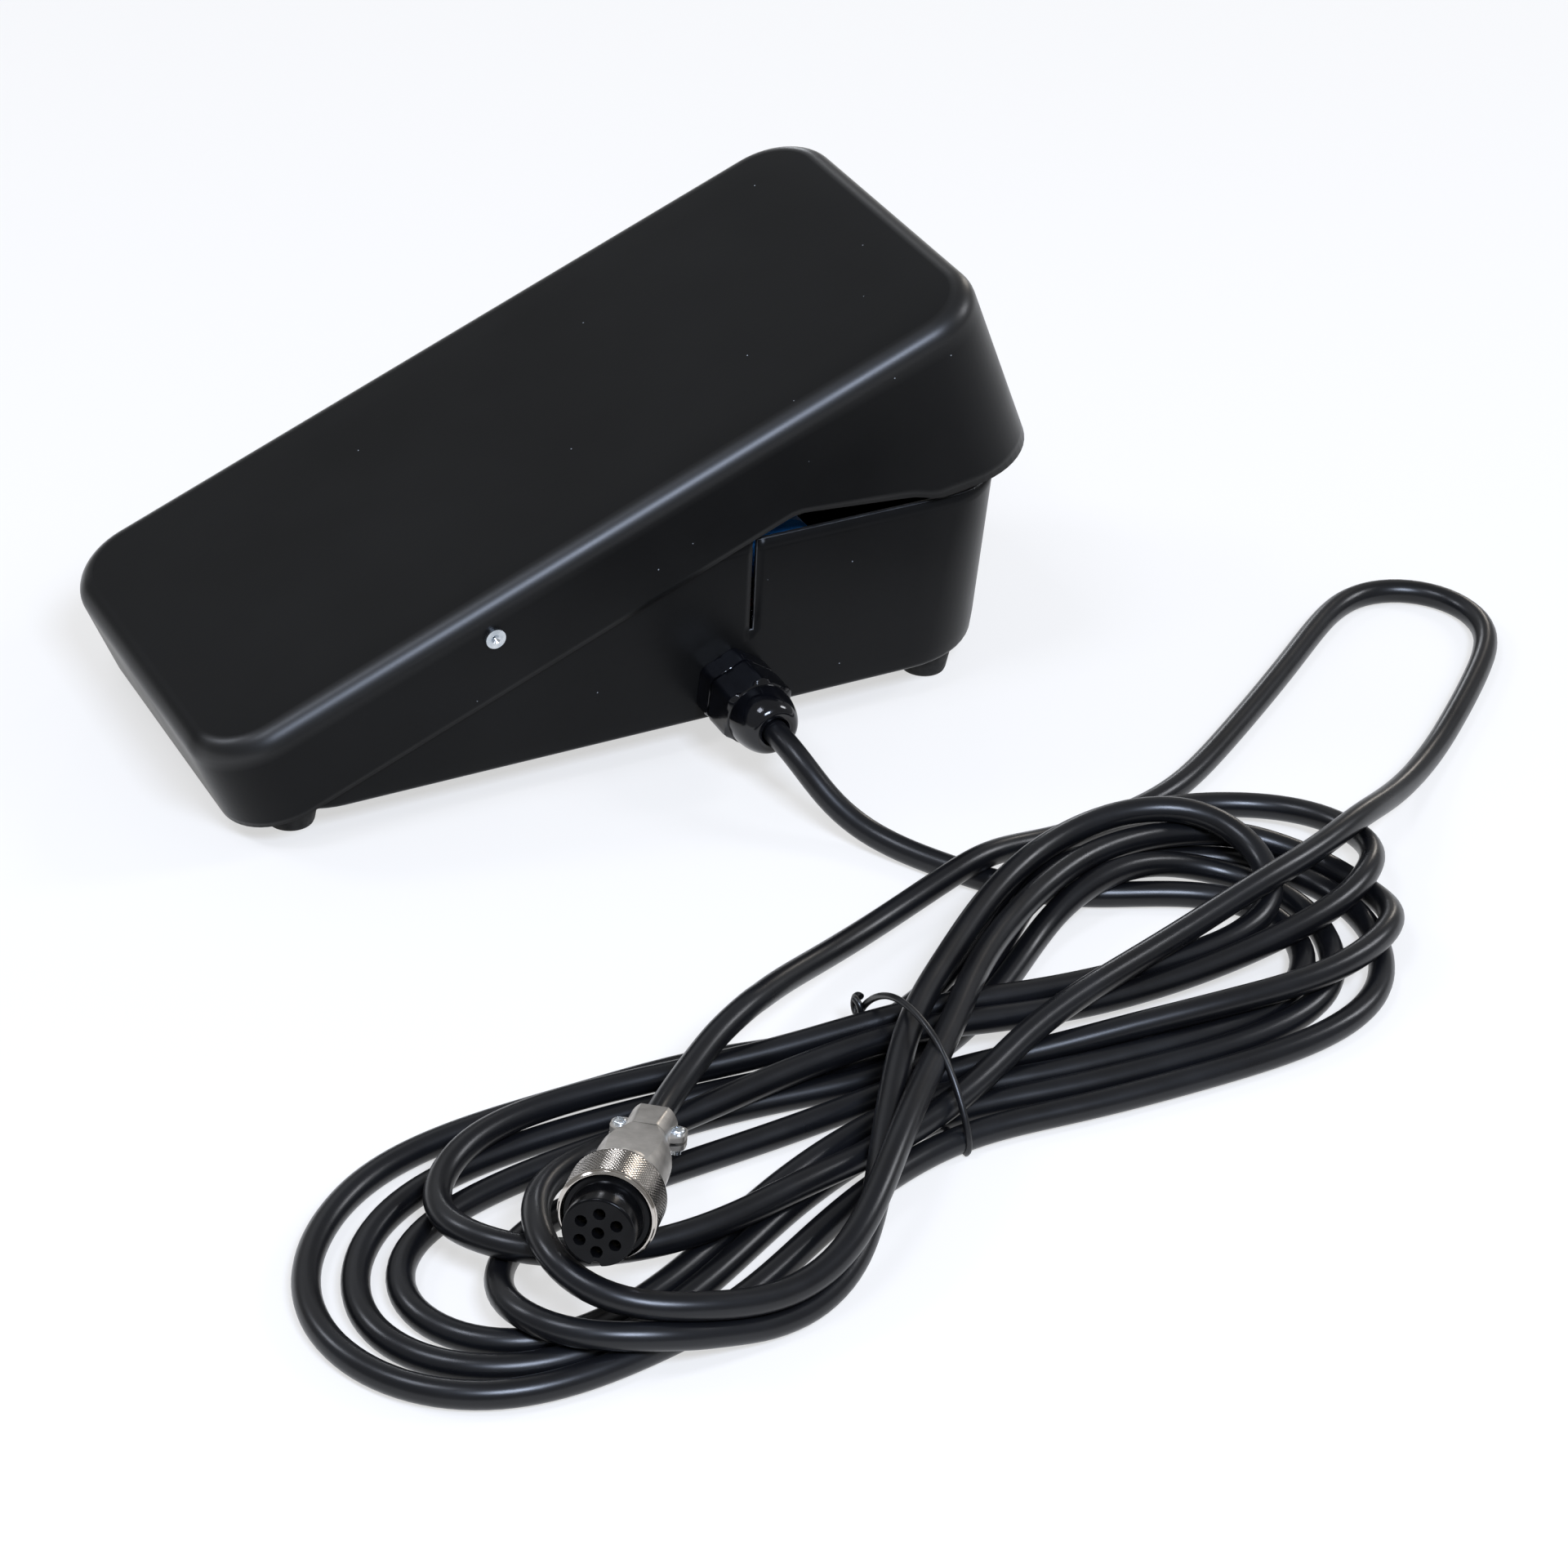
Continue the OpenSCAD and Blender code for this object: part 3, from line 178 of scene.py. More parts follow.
# what each finish is made of, how it was made, and so what the eye sees
# name, dark and light tones of a soft mottle, the mottle's size in mm, least and most roughness, the grain's size and
# depth in mm, and the rest; dust: mm between specks, mm across one, colour; rubbed: roughness of the rubbed gloss
finishes = dict(
    # polyester powder coat baked on steel: satin black with a faint orange peel and a little pale dust;
    # shoes have rubbed the rounded edges glossier
    black_powder_coat=("satinPowderCoat", ("#0d0d0d", "#121212"), 60, (0.28, 0.35), 1.1, 0.010,
                       dict(specular=0.11, rubbed=0.41, dust=(9, 0.42, "#8d9196"))),
    # sheared cold-rolled steel edge under thin paint: a narrow bright line
    sheared_edge=("shearedSteelEdge", ("#4c4d4f", "#6e6f70"), 6, (0.3, 0.5), 0.6, 0.02, dict(metallic=0.85)),
    # powder coat thinned over a sheared edge: black with a slightly paler, smoother line
    worn_edge=("thinCoatOnEdge", ("#101011", "#1a1a1b"), 9, (0.3, 0.42), 0.8, 0.01, dict(specular=0.2)),
    # moulded nitrile rubber: dull black, greyed a little where it is handled
    black_rubber=("mouldedRubber", ("#0d0d0d", "#191918"), 5, (0.55, 0.75), 0.7, 0.03, dict(specular=0.3)),
    # bright zinc plate with a blue passivate: silvery, faintly blue in patches
    zinc_plate=("brightZincPlate", ("#b9c2ca", "#dfe3e6"), 3, (0.2, 0.34), 0.5, 0.006, dict(metallic=1.0)),
    # oil-tempered spring wire: grey steel drawn along its length
    spring_steel=("drawnSpringWire", ("#6a6d70", "#94979a"), 2, (0.25, 0.4), 0.4, 0.006, dict(metallic=1.0)),
    # blackened alloy steel: dark grey with an oiled sheen
    black_steel=("blackenedSteel", ("#19191b", "#2b2b2e"), 2, (0.3, 0.45), 0.4, 0.006, dict(metallic=0.7)),
    # moulded natural nylon: milky off-white, waxy
    white_nylon=("naturalNylon", ("#d9d5c8", "#e9e6db"), 7, (0.38, 0.5), 0.8, 0.008, dict(specular=0.45)),
    # glass-filled polyester cap of the control: plain mid blue, half matt
    blue_plastic=("mouldedBluePolyester", ("#2b86d8", "#3d9cec"), 6, (0.35, 0.5), 0.6, 0.008, {}),
    # turned brass: yellow with fine tool rings and a dulling tarnish
    brass=("turnedBrass", ("#9c7c3c", "#c9a95c"), 3, (0.25, 0.4), 0.3, 0.006, dict(metallic=1.0)),
    # tinned brass stampings: pale straw metal
    tinned_brass=("tinnedBrass", ("#b5a678", "#dccfa6"), 2, (0.22, 0.36), 0.3, 0.005, dict(metallic=1.0)),
    # moulded phenolic: plain black, half gloss
    black_plastic=("mouldedPhenolic", ("#0f0f10", "#19191b"), 5, (0.3, 0.45), 0.5, 0.008, {}),
    # moulded acetal button: clean red
    red_plastic=("mouldedRedAcetal", ("#8e1d16", "#ab2a20"), 2, (0.3, 0.4), 0.4, 0.004, {}),
    # extruded PVC core insulation: red, soft gloss
    red_wire=("redCoreInsulation", ("#6a1c19", "#822722"), 6, (0.35, 0.45), 0.5, 0.006, {}),
    # injection-moulded black nylon: deep gloss, a faint flow mark, small scuffs
    black_nylon=("glossyBlackNylon", ("#050507", "#0b0c10"), 9, (0.08, 0.17), 1.6, 0.012,
                 dict(specular=0.5, dust=(5, 0.26, "#7d8798"))),
    # extruded black PVC sheath: a smooth half gloss with faint lines drawn along it
    black_pvc=("extrudedBlackPvc", ("#0a0a0c", "#111215"), 24, (0.27, 0.33), 2.4, 0.0012,
               dict(specular=0.42, along=True)),
    # PVC over a soft iron wire: black, half gloss
    tie_plastic=("coatedTieWire", ("#0a0a0b", "#131315"), 8, (0.28, 0.4), 0.8, 0.01, {}),
    # nickel plate on turned brass: warm white metal, mirror-bright with a slight handling haze
    nickel=("polishedNickelPlate", ("#b6b0a9", "#d0cac3"), 5, (0.08, 0.16), 0.9, 0.004, dict(metallic=1.0)),
    # nickel plate on a zinc die casting: the same warm white, satin because the casting's skin shows through
    satin_nickel=("satinNickelPlate", ("#bbb6af", "#d6d1ca"), 4, (0.36, 0.44), 0.7, 0.008, dict(metallic=1.0)),
    # moulded glossy PBT insert: clean black
    insert_black=("mouldedPbtInsert", ("#060607", "#0d0d0e"), 4, (0.14, 0.24), 0.6, 0.006, dict(specular=0.14)),
)


# base colour from a soft noise between two tones, roughness from a finer noise, bump from a grain;
# dust is the middle of few Voronoi cells, picked by the cell's own random value
def makeFinish(name, tones, mottleSize, rough, grainSize, depth, more):
    lowNoise, highNoise = 0.3, 0.7  # most of a noise lies between these
    hazeShare, flatten, dusty = 0.4, 0.02, 0.45  # haze to mottle in size, length to width, share of cells with dust
    made, tree = addMaterial(name)
    where = addNode(tree, "ShaderNodeTexCoord")
    place = grainPlace = where.outputs["Object"]
    if more.get("along"):  # lines drawn along the cord: the UV's first number is the length, so it is pressed flat
        lines = addNode(tree, "ShaderNodeMapping", {"Vector": where.outputs["UV"], "Scale": (flatten, 1, 1)})
        grainPlace = lines.outputs["Vector"]
    mottle, grain, haze = [
        addNode(tree, "ShaderNodeTexNoise", {"Vector": at, "Scale": 1 / (size * mm), "Detail": detail}).outputs["Fac"]
        for at, size, detail in ((place, mottleSize, 3.0), (grainPlace, grainSize, 2.0),
                                 (place, mottleSize * hazeShare, 4.0))]
    tone = addNode(tree, "ShaderNodeValToRGB", {"Fac": mottle})
    for end, position, colour in zip(tone.color_ramp.elements, (lowNoise, highNoise), tones):
        end.position, end.color = position, linear(colour)
    roughness = addNode(tree, "ShaderNodeMapRange", {"Value": haze, "From Min": lowNoise, "From Max": highNoise,
                                                     "To Min": rough[0], "To Max": rough[1]})
    bump = addNode(tree, "ShaderNodeBump", {"Height": grain, "Distance": depth * mm, "Strength": 1.0})
    colour = tone.outputs["Color"]
    if "dust" in more:
        spacing, size, pale = more["dust"]
        cells = addNode(tree, "ShaderNodeTexVoronoi", {"Vector": place, "Scale": 1 / (spacing * mm)})
        near = addMath(tree, "LESS_THAN", cells.outputs["Distance"], size / 2 / spacing)
        pick = addNode(tree, "ShaderNodeSeparateColor", {"Color": cells.outputs["Color"]})
        few = addMath(tree, "LESS_THAN", pick.outputs["Red"], dusty)
        speck = addMath(tree, "MULTIPLY", near, few)
        mix = addNode(tree, "ShaderNodeMix", {"Factor": speck, 6: colour, 7: linear(pale)}, data_type="RGBA")
        colour = mix.outputs[2]  # 6 and 7 going in and 2 going out are its colour sockets
    shader = addNode(tree, "ShaderNodeBsdfPrincipled", {
        "Base Color": colour, "Roughness": roughness.outputs["Result"], "Normal": bump.outputs["Normal"],
        "Metallic": more.get("metallic", 0.0), "Specular IOR Level": more.get("specular", 0.5)})
    if "rubbed" in more:  # the wear attribute is how much of a gloss the rounded edges have, and 0 elsewhere
        wear = addNode(tree, "ShaderNodeAttribute", attribute_name="wear")
        tree.links.new(wear.outputs["Fac"], shader.inputs["Coat Weight"])
        shader.inputs["Coat Roughness"].default_value = more["rubbed"]
    addNode(tree, "ShaderNodeOutputMaterial", {"Surface": shader.outputs[0]})
    return made


looks = {key: makeFinish(*row) for key, row in finishes.items()}


# angles once round, evenly, the last one short of the first
def angles(count):
    return np.linspace(0, 2 * np.pi, count, endpoint=False)


# points round an axis: x is radius times cosine, y is radius times sine, z is the height
def aroundAxis(radius, angle, height):
    return np.stack([radius * np.cos(angle), radius * np.sin(angle), height + 0 * angle], -1)


# quads between neighbouring rows and columns of a grid whose columns close into a ring
def gridFaces(rows, cols):
    i, j = np.meshgrid(np.arange(rows - 1), np.arange(cols), indexing="ij")
    k = (j + 1) % cols
    return np.stack([i * cols + j, i * cols + k, (i + 1) * cols + k, (i + 1) * cols + j], -1).reshape(-1, 4)


# one surface from several grids of points (rows, cols, 3): each grid's quads count on from the last one's points
def gather(*grids):
    points, faces, start = [], [], 0
    for grid in grids:
        points.append(grid.reshape(-1, 3))
        faces.append(gridFaces(*grid.shape[:2]) + start)
        start += len(points[-1])
    return np.concatenate(points), np.concatenate(faces)


# puts points and quads into a mesh, closes seams and poles, and shades it smooth up to an angle; the slot argument is
# not used
def putPiece(name, points, faces, finish, body, replaced=(), slot=None, uv=None, wear=None, turnOut=True, sharp=35):
    mesh = bpy.data.meshes.new(name)
    mesh.from_pydata(points.tolist(), [], faces.tolist())
    if uv is not None:
        layer = mesh.uv_layers.new(name="UVMap")
        loops = np.zeros(len(mesh.loops), np.int32)
        mesh.loops.foreach_get("vertex_index", loops)
        layer.data.foreach_set("uv", uv[loops].astype(np.float32).ravel())
    if wear is not None:
        mesh.attributes.new("wear", "FLOAT", "POINT").data.foreach_set("value", wear.astype(np.float32))
    shape = bmesh.new()
    shape.from_mesh(mesh)
    bmesh.ops.remove_doubles(shape, verts=shape.verts, dist=1e-6)
    bmesh.ops.dissolve_degenerate(shape, edges=shape.edges, dist=1e-7)
    if turnOut:
        bmesh.ops.recalc_face_normals(shape, faces=shape.faces)
    shape.to_mesh(mesh)
    shape.free()
    keys = finish if isinstance(finish, list) else [finish]
    for key in keys:
        mesh.materials.append(looks[key])
    mesh.shade_smooth()
    mesh.set_sharp_from_angle(angle=np.radians(sharp))
    piece = addObject(name, mesh)
    if body:  # a piece that bends between two bodies rides neither
        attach(piece, body)
    if replaced:
        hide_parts(*replaced)
    return piece


print("stage: cord")
lowLayer, highLayer = 3.7, 11  # height of the cord's middle on the floor, and on strands that lie there
# the cord's runs in mm, each with its layer: a point without a height of its own is at the layer's
cordLay = (
    # out of the gland, down to the floor and under the hank
    (lowLayer, (27.32, -82, 21.5), (27.32, -86, 21.5), (27.35, -90, 21.4), (28, -97, 20.2), (29.4, -104, 17.4),
     (31.6, -110.5, 13.2), (34.6, -117, 9), (38.2, -123, 6), (42.2, -129.5, 4.2), (46.2, -136), (50.4, -143),
     (55, -150.5), (60, -158), (65.5, -164.8)),
    # the hank's turns in the order that it was wound: right end, then left end, from behind the tie
    (lowLayer, (76, -172.5), (91, -179), (107, -185.5), (119, -195), (124, -211), (119, -227), (106, -237.5),
     (88, -242), (60, -242), (30, -240.5), (0, -238)),
    (lowLayer, (-30, -245), (-60, -257), (-85, -270), (-105, -279), (-122, -283), (-138, -281.5), (-151, -274),
     (-158.5, -262), (-158.5, -248.5), (-150, -236), (-135, -228), (-114, -223), (-80, -220), (-40, -221),
     (0, -222)),
    (lowLayer, (20, -213), (40, -198), (58, -184, 5), (72, -177, 9), (86, -174, 11), (103, -173, 9),
     (119, -178, 5), (130, -190), (134, -207), (130, -225), (120, -239), (104, -247), (85, -250), (55, -249.5),
     (28, -248), (0, -246)),
    (lowLayer, (-30, -253), (-60, -265), (-88, -279), (-112, -288), (-132, -290.5), (-150, -286.5), (-164, -276),
     (-170.5, -261), (-168, -244), (-158, -229), (-141, -217.5), (-118, -211.5), (-85, -210), (-45, -213),
     (0, -214)),
    (lowLayer, (20, -206), (42, -191), (58, -177, 6), (70, -169.5, 10), (84, -166, 11), (103, -165.5, 8),
     (122, -170, 4), (137, -180), (146, -194), (149.5, -211), (147, -226), (140, -239), (129, -249), (111, -256),
     (74, -258.5), (26, -256), (0, -254)),
    (lowLayer, (-30, -261), (-58, -275), (-85, -290), (-110, -297.5), (-130, -299.5), (-152, -296.5),
     (-170, -285), (-181, -264), (-179.5, -241), (-165, -219), (-148, -207), (-130, -201.5), (-88, -199),
     (-45, -200.5), (0, -206)),
    (highLayer, (22, -197, 4.5), (45, -182, 8.5), (66, -168.5, 13), (88, -157.5, 14.5), (109, -151, 13.5),
     (129, -150, 12), (147, -155.5), (159, -165.5), (165, -178), (165, -190), (159, -201.5), (147, -211.5),
     (129, -218.5), (109, -221.5), (55, -222.5), (22, -220), (0, -217.5)),
    (highLayer, (-30, -219), (-60, -223, 11.5), (-84, -226.5, 13), (-96, -229.5, 14.5), (-108, -235, 17.5),
     (-119, -245, 21), (-126.5, -257.5, 23.5), (-129.5, -271, 24), (-127.5, -283, 22.5), (-120.5, -292, 19.5),
     (-110, -297.8, 16.8), (-97, -300, 14.5), (-84, -300, 12), (-66, -296, 12.5), (-48, -283, 16.5),
     (-29, -261, 18.5), (3, -230.5, 18.5)),
    (highLayer, (23, -210, 17.5), (46, -190, 15), (66, -177, 13), (86, -169, 11.5), (107, -167), (127, -172.5),
     (142, -184, 10), (151, -198, 10), (153, -212, 10), (147, -226), (133, -236), (116, -241.5), (96, -243),
     (48, -239), (0, -232.5)),
    (highLayer, (-30, -234), (-70, -236), (-100, -238.5), (-122, -245), (-136, -258), (-140, -274), (-134, -287),
     (-120, -295.5), (-103, -299.5, 9.5), (-86, -300.3, 6), (-68, -298, 5.5), (-52, -289, 8), (-36, -271, 13),
     (-20, -248, 17), (-3, -225, 18.5)),
    (highLayer, (17, -205, 17.5), (41, -184, 17), (62, -170, 16.5), (79, -163.5, 17), (94, -161.5, 18.2),
     (108, -163, 18.3), (120, -169.5, 18), (127.5, -180.5, 15.8), (129, -194, 13), (123, -206, 11.2),
     (111.5, -213.5), (97, -215.8), (80, -215.5), (55, -215), (22, -212.5), (0, -210)),
    (highLayer, (-32, -209), (-77, -206), (-111, -209), (-131, -218), (-141, -231, 12), (-142, -244, 15),
     (-134, -257, 17), (-119, -265.5, 16.5), (-100, -268.5, 14), (-80, -267, 12), (-55, -261), (-28, -254),
     (2, -245)),
    # on over the hank, round the one loose loop and back across to the connector
    (lowLayer, (25, -234, 14.5), (45, -226.5, 17), (66, -220, 18), (89, -213, 18.3), (110, -207, 18.8),
     (133, -200.5, 19), (159, -189, 17.8), (183, -174.5, 12), (205, -159, 6.8), (222, -146, 4.3), (236, -134.6),
     (247, -125.2), (255.4, -117.6), (262.4, -110.6), (268.6, -102.1), (270.9, -91.8), (268.6, -81.5),
     (262, -73.2), (252.6, -68.4), (242, -67.9), (232, -71.9), (220.5, -79.4), (208, -88.6), (195, -98.1),
     (182, -107.3), (166, -118.4), (150, -129.2), (138, -136.6), (126, -142), (112, -145.5), (97, -147.5, 3.9),
     (83, -149.5, 5.5), (70, -152, 8.5), (57, -156, 11.5), (44, -160, 11.8), (30, -164.5, 11.8),
     (16, -170, 12.4), (2, -176.5, 14), (-12, -184, 16.2), (-26, -192.5, 18.8), (-38, -200, 19.4),
     (-50, -207.5, 19.6), (-61, -216, 19.6), (-72, -225.5, 20)),
)
cordFacts = dict(
    across=7.3, sides=18, step=3.0,
    into=(-56, -42),  # where on the connector's axis it goes in, and where it ends
    girth=0.023,  # metres round it, for the UV
    # settling: steps held at the ends and eased beyond, rounds, the share of them that sink it, widths in steps
    heldStart=6, heldEnd=14, easing=12, rounds=300, sinking=0.75, sink=0.04, stiff=2.5, soften=2.5, spread=0.3,
    pull=0.99, room=(-183.3, -300.3),  # room: least x and y
    search=15, reach=5, skip=3.2, gap=0.05, gain=3,  # rounds between searches; skip: diameters along the cord
    # connector: places along its axis, its radius ahead of each place, and the cord's last steps, which enter it
    plugRun=(8, -56, 17), plugRadius=((0.5, 9.2), (-15, 13.2), (-33, 10), (-99, 7.4)), plugReach=26, plugSteps=40,
    bend=24.5, bendBlur=(1.5, 3, 4),  # tightest bend, and widths in steps that find it, spread it and ease it
)
plugAt = np.array([-117.0, -278.8, 33.39])  # middle of the coupling ring's mouth
plugAxis = np.array([-0.615568, -0.760163, 0.207912])  # out of the mouth


# length along a line up to each of its points: the running sum of the distances between neighbours
def runAlong(p):
    return np.concatenate([[0], np.cumsum(np.linalg.norm(np.diff(p, axis=0), axis=1))])


# natural cubic spline through points, chord length as its parameter, then evened out to one step
def smoothPath(points, step):
    p = np.asarray(points, float)
    t = runAlong(p)
    h, n = np.diff(t), len(p)
    left, right = np.eye(n), np.zeros((n, 3))
    i = np.arange(1, n - 1)
    left[i, i - 1], left[i, i], left[i, i + 1] = h[:-1], 2 * (h[:-1] + h[1:]), h[1:]
    right[1:-1] = 6 * np.diff(np.diff(p, axis=0) / h[:, None], axis=0)
    curve = np.linalg.solve(left, right)
    at = np.linspace(0, t[-1], int(t[-1] / step * 8))  # eight places to a step
    k = np.clip(np.searchsorted(t, at, side="right") - 1, 0, n - 2)
    a, b, w = (t[k + 1] - at)[:, None], (at - t[k])[:, None], h[k][:, None]
    q = (curve[k] * a ** 3 + curve[k + 1] * b ** 3) / (6 * w) \
        + (p[k] / w - curve[k] * w / 6) * a + (p[k + 1] / w - curve[k + 1] * w / 6) * b
    return evenPath(q, step)


# the same line with its points one step apart
def evenPath(q, step):
    run = runAlong(q)
    at = np.linspace(0, run[-1], max(2, int(round(run[-1] / step)) + 1))
    return np.stack([np.interp(at, run, q[:, c]) for c in range(3)], 1)


# a Gaussian mean along the cord, its width given in steps and cut off at three widths
def blurAlong(values, width):
    reach = int(3 * width) + 1
    weight = np.exp(-0.5 * (np.arange(-reach, reach + 1) / width) ** 2)
    padded = np.pad(values, ((reach, reach), (0, 0)), mode="edge")
    return np.stack([np.convolve(padded[:, k], weight / weight.sum(), "valid") for k in range(values.shape[1])], 1)


# lets the cord settle: each round it sinks a little, strands closer than one diameter push apart along the line
# between them, the connector and the floor push it off, and the cord's stiffness spreads every shift along it
def settleCord(start, c):
    d, count = c["across"], np.arange(len(start))
    ease = np.minimum(count - c["heldStart"], len(start) - 1 - c["heldEnd"] - count)
    ease = np.clip(ease / c["easing"], 0, 1)[:, None]  # nothing moves at the gland and at the connector
    drawn = start + (blurAlong(start, c["soften"]) - start) * ease
    shift = np.zeros_like(drawn)
    plugRun = np.linspace(*c["plugRun"])
    plug = plugAt + plugAxis * plugRun[:, None]
    plugRoom = np.select([plugRun > at for at, _ in c["plugRadius"]], [r for _, r in c["plugRadius"]]) + d / 2
    skip = int(np.ceil(c["skip"] * d / c["step"]))
    for turn in range(c["rounds"]):
        p = drawn + shift
        if turn % c["search"] == 0:  # pairs near enough to meet in the next rounds
            a, b = np.nonzero(np.triu(np.linalg.norm(p[:, None] - p[None], axis=2) < d + c["reach"], skip))
            pa, pb = np.nonzero(np.linalg.norm(p[:, None] - plug[None], axis=2) < c["plugReach"])
            outside = pa < len(p) - c["plugSteps"]
            pa, pb = pa[outside], pb[outside]
        move, hits = np.zeros_like(p), np.ones(len(p))
        for away, room, ends in ((p[a] - p[b], d + c["gap"], ((a, 1), (b, -1))),
                                 (p[pa] - plug[pb], plugRoom[pb], ((pa, 1),))):
            dist = np.linalg.norm(away, axis=1) + 1e-9
            push = np.maximum(room - dist, 0)
            for at, sign in ends:
                np.add.at(move, at, sign * away * (push / dist)[:, None])
                np.add.at(hits, at, push > 0)
        shift += ease * blurAlong(move * (c["gain"] / np.sqrt(hits))[:, None], c["stiff"])
        shift = ease * (shift * (1 - c["spread"]) + blurAlong(shift, c["stiff"]) * c["spread"])
        p = drawn + shift
        curve = np.pad(np.linalg.norm(np.diff(p, 2, axis=0), axis=1), 1) / c["step"] ** 2
        find, share, relax = c["bendBlur"]
        over = np.clip(blurAlong(curve[:, None], find)[:, 0] * c["bend"] - 1, 0, 1)
        shift += ease * blurAlong(over[:, None], share) * (blurAlong(p, relax) - p)
        if turn < c["rounds"] * c["sinking"]:  # the rest only clears what still overlaps
            shift[:, :2] *= c["pull"]
            shift[:, 2] -= ease[:, 0] * c["sink"]
        for axis, least in enumerate((*c["room"], d / 2)):
            shift[:, axis] += np.maximum(least - (drawn + shift)[:, axis], 0)
    return drawn + shift


# a round tube: rings square to the path, their side from the path and a fixed direction; ends closed to a point
def tubeGrid(path, radius, sides, fixed=(0, 0, 1)):
    ahead = unit(np.gradient(path, axis=0))
    side = unit(np.cross(ahead, fixed))
    up = np.cross(ahead, side)
    angle = angles(sides)[None, :, None]
    ring = path[:, None] + radius * (side[:, None] * np.cos(angle) + up[:, None] * np.sin(angle))
    ends = [np.repeat(path[k][None, None], sides, axis=1) for k in (0, -1)]
    return np.concatenate([ends[0], ring, ends[1]])


routePoints = [(*p, layer)[:3] for layer, *run in cordLay for p in run]
routePoints += [plugAt + at * plugAxis for at in cordFacts["into"]]
cordPath = smoothPath(routePoints, cordFacts["step"])
cordPath = evenPath(settleCord(cordPath, cordFacts), cordFacts["step"])
cordLength = runAlong(cordPath)[-1] * mm
cordGrid = tubeGrid(cordPath, cordFacts["across"] / 2, cordFacts["sides"])
rows, cols = cordGrid.shape[:2]
cordUv = np.meshgrid(np.linspace(0, cordLength, rows), np.linspace(0, cordFacts["girth"], cols), indexing="ij")
points, faces = gather(cordGrid * mm)
cord = putPiece("controlCord", points, faces, "black_pvc", "base",
                ("cord_lead", "cord_hank", "cord_tail"), uv=np.stack(cordUv, -1).reshape(-1, 2), sharp=60)
print("cord", round(float(cordLength), 3), "m")


tieFacts = dict(
    across=1.9, gap=0.1, sides=10, ease=14, count=360, at=-4.0, step=1.0,  # count: angles round; at: its place in x
    near=3.5, middle=-230, half=32,  # the tied strands lie within so much of x = 0 and of this y
    eye=2.8, eyeAt=9, eyeBand=1.2, eyeOut=1.2, eyeLead=-0.3, eyePoints=25,  # the twisted eye on the far side
)


# the tie's line is the outline of the tied strands: at each angle round their middle, the farthest strand's edge,
# eased round the angles as stiff wire does; its eye is one turn of a helix on the far side
def tieGrids(t):
    x, y = cordPath[:, 0], cordPath[:, 1]
    near = cordPath[(np.abs(x) < t["near"]) & (np.abs(y - t["middle"]) < t["half"])][:, 1:]
    middle = near.mean(0)
    reach = cordFacts["across"] / 2 + t["across"] / 2 + t["gap"]
    angle, once = angles(t["count"]), slice(t["count"], 2 * t["count"])  # once: the middle one of three turns
    out = np.stack([np.cos(angle), np.sin(angle)], 1)
    support = ((near - middle) @ out.T).max(0) + reach
    eased = blurAlong(np.tile(support, 3)[:, None], t["ease"])[once, 0]
    slope = np.gradient(np.tile(eased, 3), angle[1])[once]
    line = middle + out * eased[:, None] + np.stack([-np.sin(angle), np.cos(angle)], 1) * slope[:, None]
    line[:, 1] = np.maximum(line[:, 1], t["across"] / 2)
    path = np.column_stack([np.full(len(line), t["at"]), line])
    farSide = path[:, 1] >= path[:, 1].mean()
    far = path[farSide & (np.abs(path[:, 2] - t["eyeAt"]) < t["eyeBand"])].mean(0)
    turn = np.linspace(0, 2 * np.pi, t["eyePoints"])
    eye = far + np.stack([t["eyeLead"] * turn, t["eye"] * np.sin(turn) + t["eyeOut"], t["eye"] * np.cos(turn)], 1)
    path = evenPath(np.concatenate([path, path[:1]]), t["step"])
    return [tubeGrid(p, t["across"] / 2, t["sides"], (1, 0, 0.01)) * mm for p in (path, eye)]


tie = putPiece("cordTie", *gather(*tieGrids(tieFacts)), "tie_plastic", "base", ("cord_tie",), sharp=60)


print("stage: cover and pan")
coverFacts = dict(
    # mm and degrees, along and square to the tread from the axle
    axle=(-48.6757, 0, 56.8), tilt=22.4, rise=11.2, heel=88, toe=172.5, wide=125, corner=21, edge=6.3,
    deep=69, toeFoot=174.48, toeFootR=28, sheet=1.5,
    # lower edge: place along the tread, depth under its top; a mean over places on both sides eases its corners
    rim=((-200, 30.5), (94.5, 30.5), (129.5, 48.5), (135, 53.5), (174.48, 63), (300, 63)), places=1001, easing=5,
    firstDepth=40.0, arcs=15, runs=(76, 22, 76, 22), wallRows=14, edgeRows=11, treadRows=7,
    # gloss that shoes leave: by row over the rounded edge, and less of it across the heel
    rubRows=((12, 0), (15, 0.68), (21, 0.68), (23, 0)), rubHeel=((-131.7, 0.15), (-130.4, 1)),
)


# rounded outline: each corner's arc anticlockwise, then the straight run to the next; the counts fix the
# columns, so that two outlines with other radii match column by column
def outline(centres, radii, inset, arcs, runs):
    parts = []
    for k in range(4):
        a = np.radians(np.linspace(90 * k, 90 * k + 90, arcs))
        parts.append(np.array(centres[k]) + (radii[k] - inset) * np.stack([np.cos(a), np.sin(a)], 1))
    full = []
    for k in range(4):
        t = np.linspace(0, 1, runs[k] + 2)[1:-1, None]
        full += [parts[k], parts[k][-1] * (1 - t) + parts[(k + 1) % 4][0] * t]
    return np.concatenate(full)


# middles and radii of the four corner arcs, each a radius in from both sides, from the toe's far corner on
def cornersOf(heel, toe, half, heelR, toeR):
    return [(toe - toeR, half - toeR), (heel + heelR, half - heelR),
            (heel + heelR, heelR - half), (toe - toeR, toeR - half)], (toeR, heelR, heelR, toeR)


